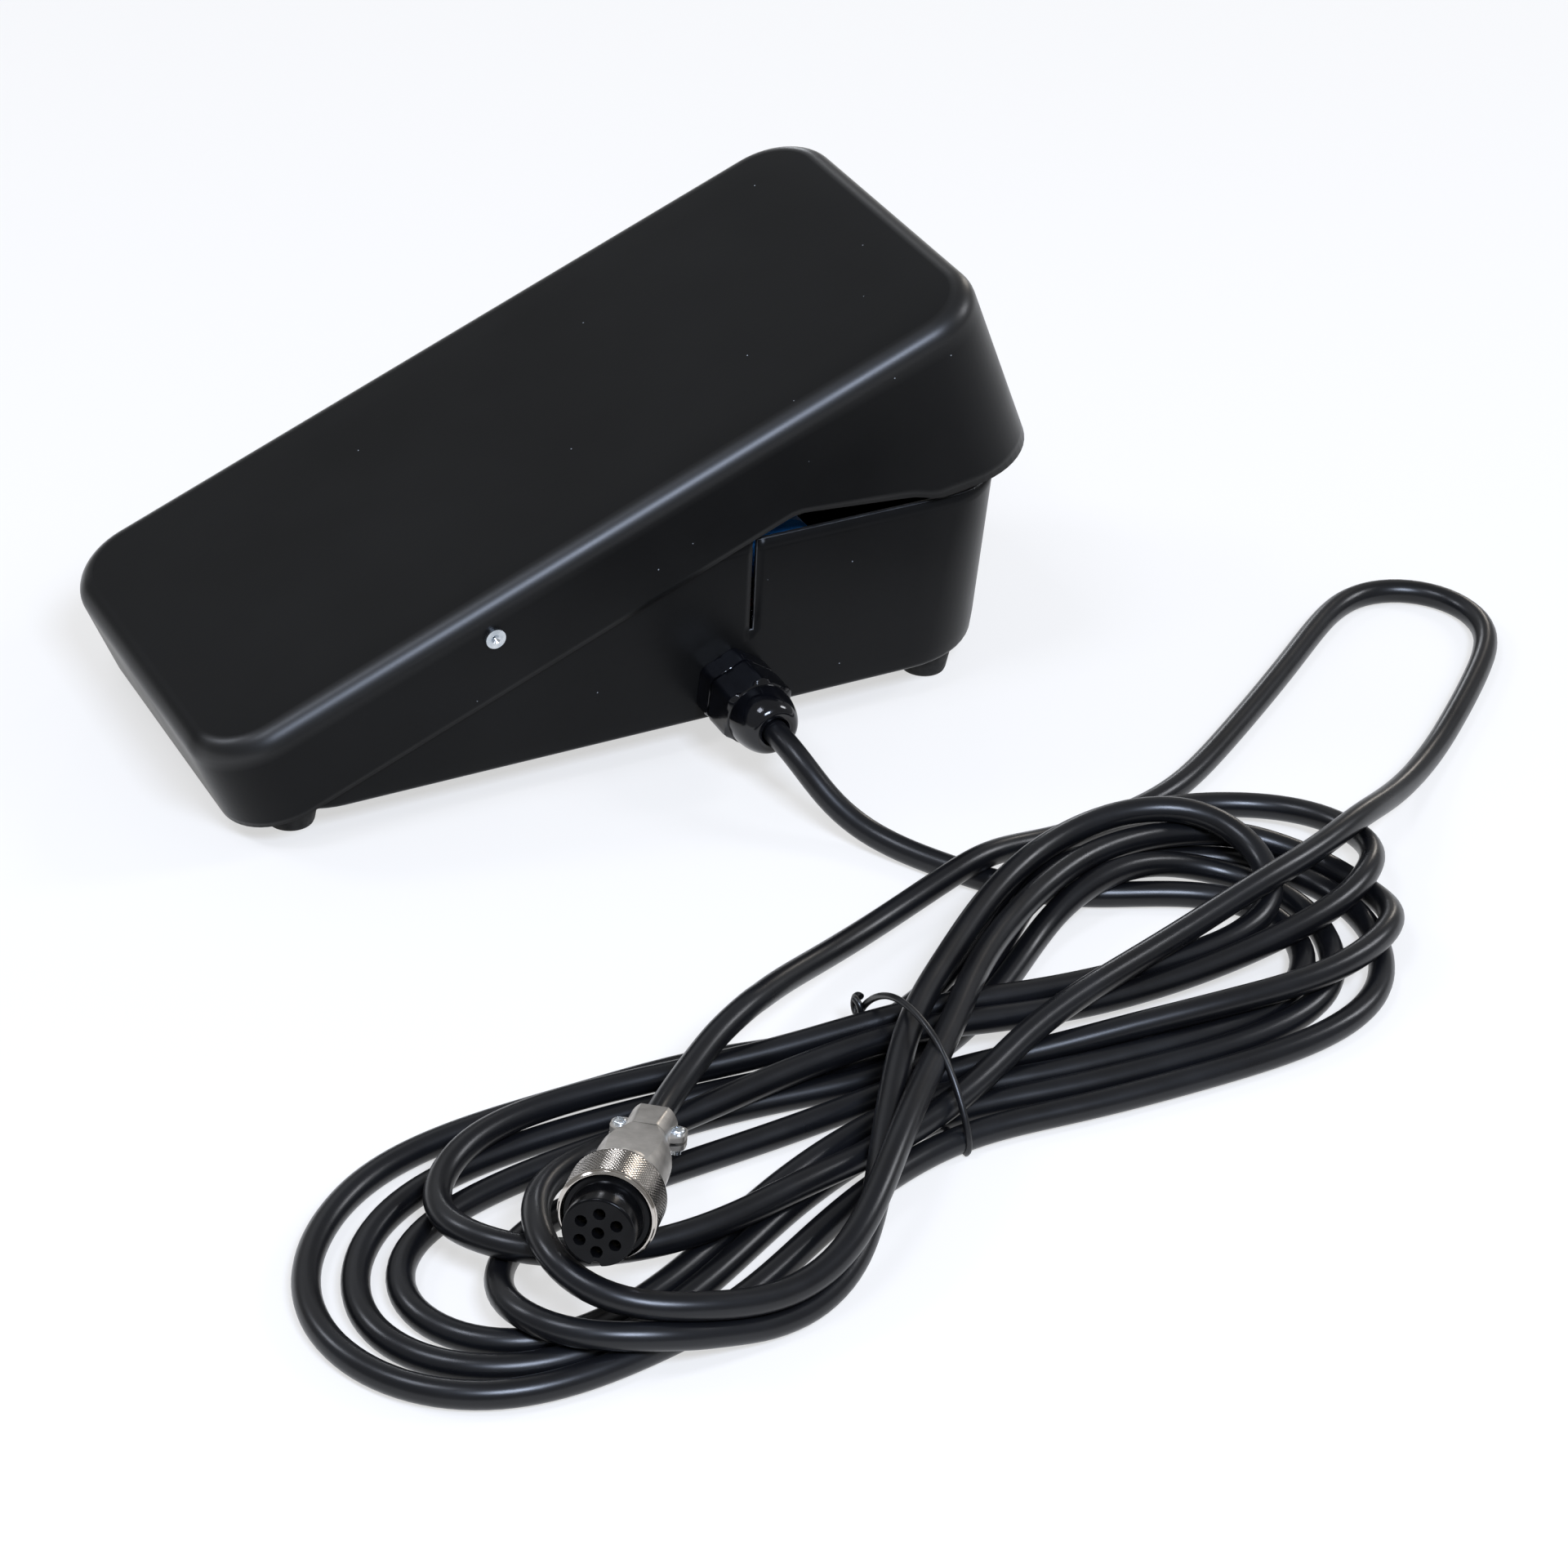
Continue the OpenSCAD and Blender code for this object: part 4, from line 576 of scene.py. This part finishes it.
# points of a flat outline at a height, or each at its own
def raised(flat, z):
    return np.column_stack([flat, np.zeros(len(flat)) + z])


# tread frame to part frame: a turn about the axle that lifts the toe
def fromTread(p, c):
    s, k = np.sin(np.radians(c["tilt"])), np.cos(np.radians(c["tilt"]))
    u, v, w = p[..., 0], p[..., 1], p[..., 2]
    return np.stack([c["axle"][0] + u * k - w * s, v, c["axle"][2] + u * s + w * k], -1)


# rows from the lower edge up the wall, over a quarter-round edge and in across the flat tread to its spine
def coverGrid(c):
    half, arcs, runs = c["wide"] / 2, c["arcs"], c["runs"]
    top = cornersOf(-c["heel"], c["toe"], half, c["corner"], c["corner"])
    low = cornersOf(-c["heel"], c["toeFoot"], half, c["corner"], c["toeFootR"])
    upper, lower = outline(*top, 0, arcs, runs), outline(*low, 0, arcs, runs)
    rimX, rimD = np.array(c["rim"]).T
    softX, window = np.linspace(rimX[0], rimX[-1], c["places"]), 2 * c["easing"] + 1
    softD = np.pad(np.interp(softX, rimX, rimD), c["easing"], mode="edge")
    softD = np.convolve(softD, np.ones(window) / window, "valid")
    depth = np.full(len(upper), c["firstDepth"])
    for _ in range(5):  # the toe wall leans, so depth and place settle together
        share = (depth - c["edge"]) / (c["deep"] - c["edge"])
        depth = np.interp(upper[:, 0] * (1 - share) + lower[:, 0] * share, softX, softD)
    rowsOut = []
    for t in np.linspace(1, 0, c["wallRows"]):
        d = c["edge"] + (depth - c["edge"]) * t
        share = ((d - c["edge"]) / (c["deep"] - c["edge"]))[:, None]
        rowsOut.append(raised(upper * (1 - share) + lower * share, c["rise"] - d))
    for a in np.radians(np.linspace(90, 0, c["edgeRows"]))[1:]:
        flat = outline(*top, c["edge"] * (1 - np.sin(a)), arcs, runs)
        rowsOut.append(raised(flat, c["rise"] - c["edge"] * (1 - np.cos(a))))
    edge = rowsOut[-1]
    spine = np.column_stack([np.clip(edge[:, 0], half - c["heel"], c["toe"] - half), np.zeros(len(edge)), edge[:, 2]])
    for t in np.linspace(0, 1, c["treadRows"])[1:]:
        rowsOut.append(edge * (1 - t) + spine * t)
    return fromTread(np.stack(rowsOut), c)


# a turned shape: radius and height pairs carried round an axis
def turnedGrid(profile, sides):
    r, z = np.array(profile, float).T[..., None]
    return aroundAxis(r, angles(sides), z)


grid = coverGrid(coverFacts)
rubbed = np.interp(np.arange(len(grid)), *np.array(coverFacts["rubRows"]).T)
heelward = np.interp(grid[coverFacts["wallRows"] - 1, :, 0], *np.array(coverFacts["rubHeel"]).T)
cover = putPiece("pedalCover", *gather(grid * mm), ["black_powder_coat", "worn_edge"], "pedal",
                 ("pedal_cover",), wear=np.outer(rubbed, heelward).ravel(), turnOut=False, sharp=40)


# sheet steel: the surface is given its thickness inwards, and the cut edge takes the piece's second finish
def thicken(piece, sheet):
    wall = piece.modifiers.new("sheet", "SOLIDIFY")
    wall.thickness, wall.offset, wall.use_even_offset = sheet * mm, -1, False
    wall.material_offset_rim = 1


thicken(cover, coverFacts["sheet"])

studFacts = dict(places=((83, 3), (93, 3)), low=1.7, high=9.75, radius=2.0, pitch=0.7, thread=0.22, chamfer=0.5,
                 sides=28)


# a welded stud: a turned rod whose radius rises and falls once each thread pitch, with a chamfered end
def studGrid(t):
    z = np.arange(t["low"], t["high"], t["pitch"] / 2)
    r = t["radius"] - t["thread"] * (np.arange(len(z)) % 2)
    return turnedGrid([(0, z[0]), (r[0] - t["chamfer"], z[0]), *zip(r[1:], z[1:]), (0, t["high"])], t["sides"])


studs = [fromTread(studGrid(studFacts) + np.array([*place, 0]), coverFacts) * mm for place in studFacts["places"]]
putPiece("coverStuds", *gather(*studs), "zinc_plate", "pedal")

panFacts = dict(
    axleX=-48.6757, heel=68, toe=171, wide=120, corner=24, toeFootR=33, low=10, high=68.5, bend=2.2, sheet=1.5,
    slitX=82.5, slitW=1.5, slitZ=37.5, top=((-300, 34.94), (-68, 34.94), (0, 62.965), (82.5, 67.5), (300, 67.5)),
    arcs=15, runs=(90, 22, 90, 22), floorRows=6, bendRows=6, wallRows=8,
)


# rows from the middle of the floor out to a small bend, up a closed band to the foot of the slit, then up to
# the sloping top; quads inside the slit are left out
def panShape(c):
    half, arcs, runs = c["wide"] / 2, c["arcs"], c["runs"]
    foot = cornersOf(-c["heel"], c["toe"], half, c["corner"], c["toeFootR"])
    base, inner = outline(*foot, 0, arcs, runs), outline(*foot, c["bend"], arcs, runs)
    head = outline(*cornersOf(-c["heel"], c["toe"], half, c["corner"], c["corner"]), 0, arcs, runs)
    straight = np.abs(np.abs(base[:, 1]) - half) < 1e-6
    head[straight, 0] = base[straight, 0]  # both outlines share their places along the straight sides
    for side in (-1, 1):  # two columns are drawn to the slit's edges
        for x in (c["slitX"] - c["slitW"] / 2, c["slitX"] + c["slitW"] / 2):
            far = np.abs(base[:, 0] - x) + 1e3 * (np.abs(base[:, 1] - side * half) > 0.01)
            k = int(far.argmin())
            base[k, 0] = head[k, 0] = x
    span = c["high"] - c["low"]

    def at(z):  # the outline at height z, between the foot's and the head's by its share of the height
        share = ((z - c["low"]) / span)[:, None]
        return raised(base * (1 - share) + head * share, z)

    n = len(base)
    spine = np.column_stack([np.clip(inner[:, 0], half - c["heel"], c["toe"] - half), np.zeros(n)])
    rowsOut = [raised(spine * (1 - t) + inner * t, c["low"]) for t in np.linspace(0, 1, c["floorRows"])]
    for a in np.radians(np.linspace(0, 90, c["bendRows"]))[1:]:
        rowsOut.append(raised(inner + (base - inner) * np.sin(a), c["low"] + c["bend"] * (1 - np.cos(a))))
    top = np.interp(base[:, 0], *np.array(c["top"]).T)
    start, band = c["low"] + c["bend"], np.minimum(top, c["slitZ"])
    wall = np.linspace(0, 1, c["wallRows"])[1:]
    rowsOut += [at(start + (band - start) * t) for t in wall]
    slitRow = len(rowsOut) - 1
    rowsOut += [at(band + (top - band) * t) for t in wall]
    points, faces = gather(np.stack(rowsOut))
    middle = points[faces].mean(1)
    inSlit = (np.abs(middle[:, 0] - c["slitX"]) < c["slitW"] / 2 - 0.05) & (faces.min(1) // n >= slitRow)
    points[:, 0] += c["axleX"]
    return points, faces[~inSlit]


points, faces = panShape(panFacts)
pan = putPiece("basePan", points * mm, faces, ["black_powder_coat", "sheared_edge"], "base",
               ("base_pan",), turnOut=False, sharp=40)
thicken(pan, panFacts["sheet"])


print("stage: gland")
glandFacts = dict(
    at=(27.3243, -60, 21.5), flats=20.5, turn=-5, flange=7, nut=12, dome=10.5, lip=5.85, sides=96, domeRows=16,
    mouth=((5.3, 10.5), (4.6, 10.3), (4.05, 9.6), (3.7, 7), (0, 7)),  # radius, and height over the nut's shoulder
)


# six flats with the corners taken off by a cone: at each turn the nearer of the hexagon and the limit radius
def hexGrid(rows, g):
    limit, z = np.array(rows, float).T[..., None]
    a, sixth = angles(g["sides"]), np.pi / 3
    hexR = g["flats"] / 2 / np.cos((a - np.radians(g["turn"]) + sixth / 2) % sixth - sixth / 2)
    return aroundAxis(np.minimum(hexR, limit), a, z)


# gland frame: its own Z out of the near wall
def fromGland(p, g):
    return np.stack([g["at"][0] + p[..., 0], g["at"][1] - p[..., 2], g["at"][2] + p[..., 1]], -1)


# limit radii and heights: a hex body with its corners taken off, and a nut that goes over into a quarter-ellipse
# dome and turns in at the mouth to the cable
def glandPieces(g):
    far, flat = g["flats"] / 2 / np.cos(np.pi / 6), g["flats"] / 2
    body = [(0, -1.4), (6.8, -1.4), (6.8, 0.02), (flat, 0.02), (far - 0.5, 0.1), (far + 1, 0.9), (far + 1, 6.0),
            (far - 0.5, 6.85), (flat - 0.1, 7.0), (8.6, 7.05), (8.4, 8.2), (0, 8.2)]
    start, shoulder = g["flange"] + 0.4, g["flange"] + g["nut"]
    a = np.radians(np.linspace(0, 90, g["domeRows"]))
    dome = np.column_stack([g["lip"] + (flat - 0.4 - g["lip"]) * np.cos(a), shoulder + g["dome"] * np.sin(a)])
    mouth = [(r, shoulder + z) for r, z in g["mouth"]]
    nut = [(0, start), (flat - 0.1, start), (far - 0.4, start + 0.3), (far + 1, start + 1.3),
           (far + 1, shoulder - 2.2), (far - 0.3, shoulder - 0.9), (flat + 0.1, shoulder - 0.2), *dome, *mouth]
    return [putPiece(name, *gather(fromGland(hexGrid(rows, g), g) * mm), "black_nylon", "base", (node,), sharp=30)
            for name, rows, node in (("glandBody", body, "gland_body"), ("glandNut", nut, "gland_nut"))]


glandBody, glandNut = glandPieces(glandFacts)


print("stage: connector")
ringFacts = dict(
    outer=12.3, inner=11.0, long=14, lip=3, bore=8.55, bands=(1.6, 1.2),
    pitch=1.0, depth=0.1, land=0.7, lean=0.8, fade=0.5, perPitch=6, rows=72,  # the knurl
)


# connector frame: its own Z out of the mouth, X towards the floor, Y level
def fromPlug(p):
    y = unit(np.cross([0, 0, 1], plugAxis))
    x = np.cross(y, plugAxis)
    return plugAt + p[..., 0:1] * x + p[..., 1:2] * y + p[..., 2:3] * plugAxis


# diamond knurl: flat lands, and a groove of one depth wherever either of two crossed slanting saw waves is
# past the land's share
def ringGrid(r):
    count = int(round(2 * np.pi * r["outer"] / r["pitch"]))
    sides, o, i, rear = count * r["perPitch"], r["outer"], r["inner"], -r["long"]
    a = angles(sides)
    z = np.linspace(rear + r["bands"][0], -r["bands"][1], r["rows"])
    turn, rise = np.meshgrid(a * count / (2 * np.pi), z / r["pitch"] * r["lean"])
    wave = np.maximum(np.abs((turn + rise) % 1 - 0.5), np.abs((turn - rise) % 1 - 0.5)) * 2
    wave = np.clip((wave - r["land"]) / (1 - r["land"]), 0, 1)
    fade = np.clip(np.minimum(z - z[0], z[-1] - z) / r["fade"], 0, 1)[:, None]
    knurl = aroundAxis(o - r["depth"] * wave * fade, a, z[:, None])
    back = [(r["bore"], rear + 0.3), (r["bore"] + 0.3, rear), (o - 1.2, rear), (o - 0.45, rear + 0.35),
            (o - 0.3, rear + 0.9), (o - 0.3, rear + 1.4)]
    front = [(o - 0.3, -1.05), (o - 0.3, -0.5), (o - 0.6, -0.1), (o - 0.9, 0), (i + 0.3, 0), (i, -0.3),
             (i, rear + r["lip"]), (r["bore"], rear + r["lip"]), (r["bore"], rear + 0.3)]
    return np.concatenate([turnedGrid(back, sides), knurl, turnedGrid(front, sides)])


ring = putPiece("couplingRing", *gather(fromPlug(ringGrid(ringFacts)) * mm), "nickel", "ring",
                ("coupling_ring",), sharp=32)


insertFacts = dict(radius=9.0, out=8.5, flange=10.8, seat=-1.9, step=-0.6, hole=1.25, pitch=5.0, count=6, deep=6.2,
                   soft=(0.2, 0.35), notch=1.2, notchFrom=3.5, round=0.7, sides=240, bendRows=7, faceRows=60)


# middles of the contacts: one in the centre and the rest evenly round it
def contactPlaces(i):
    a = np.arange(i["count"]) * 2 * np.pi / i["count"]
    return np.concatenate([[(0, 0)], i["pitch"] * np.stack([np.cos(a), np.sin(a)], 1)])


# a flange that fills the ring's mouth, a round post with a key groove, a rounded front edge, and a face that is
# sunk by a smooth step wherever it is nearer to a contact's middle than the hole's radius
def insertGrid(i):
    r, wide, low, step = i["radius"], i["flange"], i["seat"], i["step"]
    foot = [(0, low), (wide - 0.3, low), (wide, low + 0.3), (wide, step - 0.3), (wide - 0.3, step), (r + 1, step),
            (r + 0.4, step + 0.15), (r + 0.1, step + 0.5), (r, step + 1.1), (r, i["notchFrom"])]
    a = angles(i["sides"])
    edge = r - np.sqrt(np.maximum(i["notch"] ** 2 - (r * np.sin(a)) ** 2, 0)) * (np.cos(a) > 0)
    bend = np.linspace(0, np.pi / 2, i["bendRows"])[:, None]
    share = np.linspace(1, 0, i["faceRows"])[1:, None]
    rad = np.concatenate([edge[None], edge - i["round"] * (1 - np.cos(bend)), (edge - i["round"]) * share])
    high = np.concatenate([[i["notchFrom"] + 0.01], i["out"] - i["round"] * (1 - np.sin(bend[:, 0])),
                           np.full(len(share), i["out"])])
    x, y = rad * np.cos(a), rad * np.sin(a)
    near = np.hypot(x[..., None] - contactPlaces(i)[:, 0], y[..., None] - contactPlaces(i)[:, 1]).min(-1)
    sunk = np.clip((i["hole"] + i["soft"][0] - near) / i["soft"][1], 0, 1)
    face = (np.arange(len(rad)) > len(rad) - len(share))[:, None]
    post = aroundAxis(rad, a, high[:, None] - i["deep"] * sunk * face)
    return np.concatenate([turnedGrid(foot, i["sides"]), post])


insert = putPiece("plugInsert", *gather(fromPlug(insertGrid(insertFacts)) * mm), "insert_black", "base",
                  ("plug_insert",), sharp=30)
socketFacts = dict(profile=((0.7, 1.5), (0.7, 3.0), (1.0, 3.1), (1.05, 1.5), (0.7, 1.5)), sides=20)  # radius, place
socket = turnedGrid(socketFacts["profile"], socketFacts["sides"])
sockets = [fromPlug(socket + np.array([x, y, 0])) * mm for x, y in contactPlaces(insertFacts)]
contacts = putPiece("plugSockets", *gather(*sockets), "tinned_brass", "base", ("plug_contacts",))

shellFacts = dict(
    # turned part: radius and place along the axis, from the barrel's rear over the bead to the cup and back inside
    profile=((4.1, -20.0), (9.0, -20.0), (9.0, -17.2), (9.2, -16.9),
             (9.35, -16.6), (9.75, -16.3), (10.0, -15.8), (10.0, -15.2), (9.75, -14.7), (9.3, -14.4), (8.5, -14.3),
             (8.5, -11.2), (11.1, -11.1), (11.2, -10.9), (11.2, -8.8), (10.0, -8.6), (10.0, -2.3), (9.8, -2.0),
             (9.2, -2.0), (9.05, -2.2), (9.05, -5.9), (4.1, -6.0), (4.1, -20.0)),
    # saddle halves: place along the axis, outer radius and height of the flattened crown
    arch=((-56, 6.2, 5.0), (-42, 6.4, 5.8), (-38.5, 7.3, 6.1), (-35, 8.5, 6.4), (-31.5, 9.3, 6.7), (-28, 9.5, 7.0),
          (-17, 9.5, 8.0)),
    bore=3.95, gap=0.4, ear=1.9, thin=0.1, lugAt=-47, lugHalf=4.6, lugOut=9.7, screwY=7.4, split=-41, front=-17.3,
    seatEnd=-51.5, clampEnd=-53, upperBack=-40.7, upperGap=-0.5, sides=96,
    rows=90, edgeCols=9, crownCols=17, boreCols=33, earCols=7,  # of a saddle half
)


# half a cable saddle: an arch over the cable with a flattened crown, running out into a level ear on each side;
# the ears' length follows a rounded oblong about the screws; back, front and gap are names of settings
def saddleGrid(s, back, front, up, gap):
    back, front, gap = s[back], s[front], s[gap]
    z = np.concatenate([[back], np.linspace(back, front, s["rows"]), [front]])
    place, radius, crown = np.array(s["arch"]).T
    outR, top = np.interp(z, place, radius)[:, None], np.interp(z, place, crown)[:, None]
    bulge = np.sqrt(np.maximum(1 - ((z - s["lugAt"]) / s["lugHalf"]) ** 4, 0))[:, None]
    level = max(gap, 0) + s["thin"] + (s["ear"] - gap - s["thin"]) * np.sqrt(bulge)
    turnOut, turnIn = np.arccos(level / outR), np.arccos(gap / s["bore"])
    share, ear = np.linspace(0, 1, s["edgeCols"]), np.linspace(1, 0, s["earCols"])[:-1]
    across, inside = np.linspace(-1, 1, s["crownCols"]), np.linspace(-1, 1, s["boreCols"])
    edge = np.arccos(top / outR) / turnOut  # columns follow the crown's edges
    t = np.hstack([-1 + (1 - edge) * share[:-1], edge * across, edge + (1 - edge) * share[1:]])
    outY, outX = outR * np.sin(t * turnOut), outR * np.cos(t * turnOut)
    outX = np.minimum(outX, top) if up else outX
    inY, inX = s["bore"] * np.sin(inside * turnIn), s["bore"] * np.cos(inside * turnIn)
    inY, inX = np.repeat(inY[None], len(z), 0), np.repeat(inX[None], len(z), 0)
    tip = np.maximum(-outY[:, :1] + 0.02, s["lugOut"] * bulge)
    lugY = tip * ear + -outY[:, :1] * (1 - ear)
    lugIn = tip * ear + -inY[:, :1] * (1 - ear)
    flatOut, flatIn = np.repeat(level, lugY.shape[1], 1), np.full_like(lugY, gap)
    outer = np.stack([np.hstack([flatOut, outX, flatOut]), np.hstack([-lugY, outY, lugY[:, ::-1]])], -1)
    inner = np.stack([np.hstack([flatIn, inX, flatIn]), np.hstack([-lugIn, inY, lugIn[:, ::-1]])], -1)
    middle = (outer + inner) / 2
    for k in (0, -1):  # both ends close on the middle of the wall
        outer[k] = inner[k] = middle[k]
    loop = np.concatenate([outer, inner[:, ::-1]], 1)
    return np.stack([loop[..., 0] * (-1 if up else 1), loop[..., 1], np.repeat(z[:, None], loop.shape[1], 1)], -1)


shellGrids = [turnedGrid(shellFacts["profile"], shellFacts["sides"]),
              saddleGrid(shellFacts, "seatEnd", "front", False, "gap"),
              saddleGrid(shellFacts, "upperBack", "front", True, "upperGap")]
shell = putPiece("plugShell", *gather(*[fromPlug(g) * mm for g in shellGrids]), "satin_nickel", "base",
                 ("plug_shell",), "nickel")
clampGrid = saddleGrid(shellFacts, "clampEnd", "split", True, "gap")
clamp = putPiece("plugClamp", *gather(fromPlug(clampGrid) * mm), "satin_nickel", "base", ("plug_clamp",), "nickel")


screwFacts = dict(
    head=1.9, high=1.25, brim=0.35, shank=1.2, long=6.0, rows=24, sides=64,
    slot=0.28, deep=0.55, soft=(0.06, 0.1), slotFrom=0.5,  # half width, depth, soft edge, height that it spares
    turns=((-1, 0.5), (1, 2.2)),  # side of the cable, and the way that the slot points in radians
)


# pan-head screw: a half-ellipse dome with a slot sunk across it, and its shank
def screwGrid(s):
    a, head = angles(s["sides"]), s["head"]
    r = head * np.sin(np.linspace(0, np.pi / 2, s["rows"]))[:, None]
    h = s["brim"] + (s["high"] - s["brim"]) * np.sqrt(np.maximum(1 - (r / head) ** 2, 0)) * np.ones_like(a)
    inSlot = np.clip((s["slot"] + s["soft"][0] - np.abs(r * np.sin(a))) / s["soft"][1], 0, 1)
    h -= s["deep"] * inSlot * (h > s["slotFrom"])
    shank = [(head, 0), (s["shank"], 0), (s["shank"], -s["long"]), (0, -s["long"])]
    return np.concatenate([aroundAxis(r, a, h), turnedGrid(shank, s["sides"])])


screws = []
for side, turn in screwFacts["turns"]:
    k, s = np.cos(turn), np.sin(turn)
    p = screwGrid(screwFacts) @ np.array([[k, s, 0], [-s, k, 0], [0, 0, 1]])
    p = np.stack([-shellFacts["ear"] - p[..., 2], side * shellFacts["screwY"] + p[..., 0],
                  shellFacts["lugAt"] + p[..., 1]], -1)
    screws.append(fromPlug(p) * mm)
screwPiece = putPiece("clampScrews", *gather(*screws), "zinc_plate", "base", ("clamp_screws",))


print("stage: spring")
springFacts = dict(at=(-3.6757, 0), base=14.05, top=79.95, outer=20, wire=2.2, turns=9, sides=12, perTurn=40,
                   closed=1.05, seatWires=2)  # rise of an end turn and depth of a seat, in wires


# helix with a closed turn at each end: the end turns rise by little more than the wire, the others evenly between
def springPath(s):
    t = np.linspace(0, s["turns"], s["turns"] * s["perTurn"])
    low, high = s["base"] + s["wire"] / 2, s["top"] - s["wire"] / 2
    flat = s["wire"] * s["closed"]
    z = np.interp(t, [0, 1, s["turns"] - 1, s["turns"]], [low, low + flat, high - flat, high])
    r = (s["outer"] - s["wire"]) / 2
    return np.stack([s["at"][0] + r * np.cos(2 * np.pi * t), r * np.sin(2 * np.pi * t), z], 1)


points, faces = gather(tubeGrid(springPath(springFacts), springFacts["wire"] / 2, springFacts["sides"]) * mm)
spring = putPiece("returnSpring", points, faces, "spring_steel", None, ("return_spring",), sharp=60)
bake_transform(spring)


print("stage: kept solids")
kept = dict(
    black_rubber=("rubber_feet", "stop_caps", "gland_seal"),
    zinc_plate=("foot_screws", "foot_nuts", "control_bracket", "bracket_screws", "pot_spindle", "stop_posts",
                "post_screws", "switch_bracket", "switch_screws", "switch_nuts", "switch_lever", "pivot_axle",
                "axle_clips", "sector_nuts", "switch_tab"),
    black_steel=("pinion_screw",),
    white_nylon=("axle_bushes", "lower_spring_seat", "upper_spring_seat", "gear_sector", "pinion"),
    blue_plastic=("pot_body",),
    brass=("pot_bush", "pot_nut"),
    tinned_brass=("pot_terminals", "switch_terminals"),
    black_plastic=("switch_body",),
    red_plastic=("switch_plunger",),
    red_wire=("core_wires",),
    black_nylon=("gland_lock_nut",),
    black_pvc=("cable_entry",),
)
for key, names in kept.items():
    for name in names:
        nodes[name].data.materials.clear()
        nodes[name].data.materials.append(looks[key])

print("stage: done")
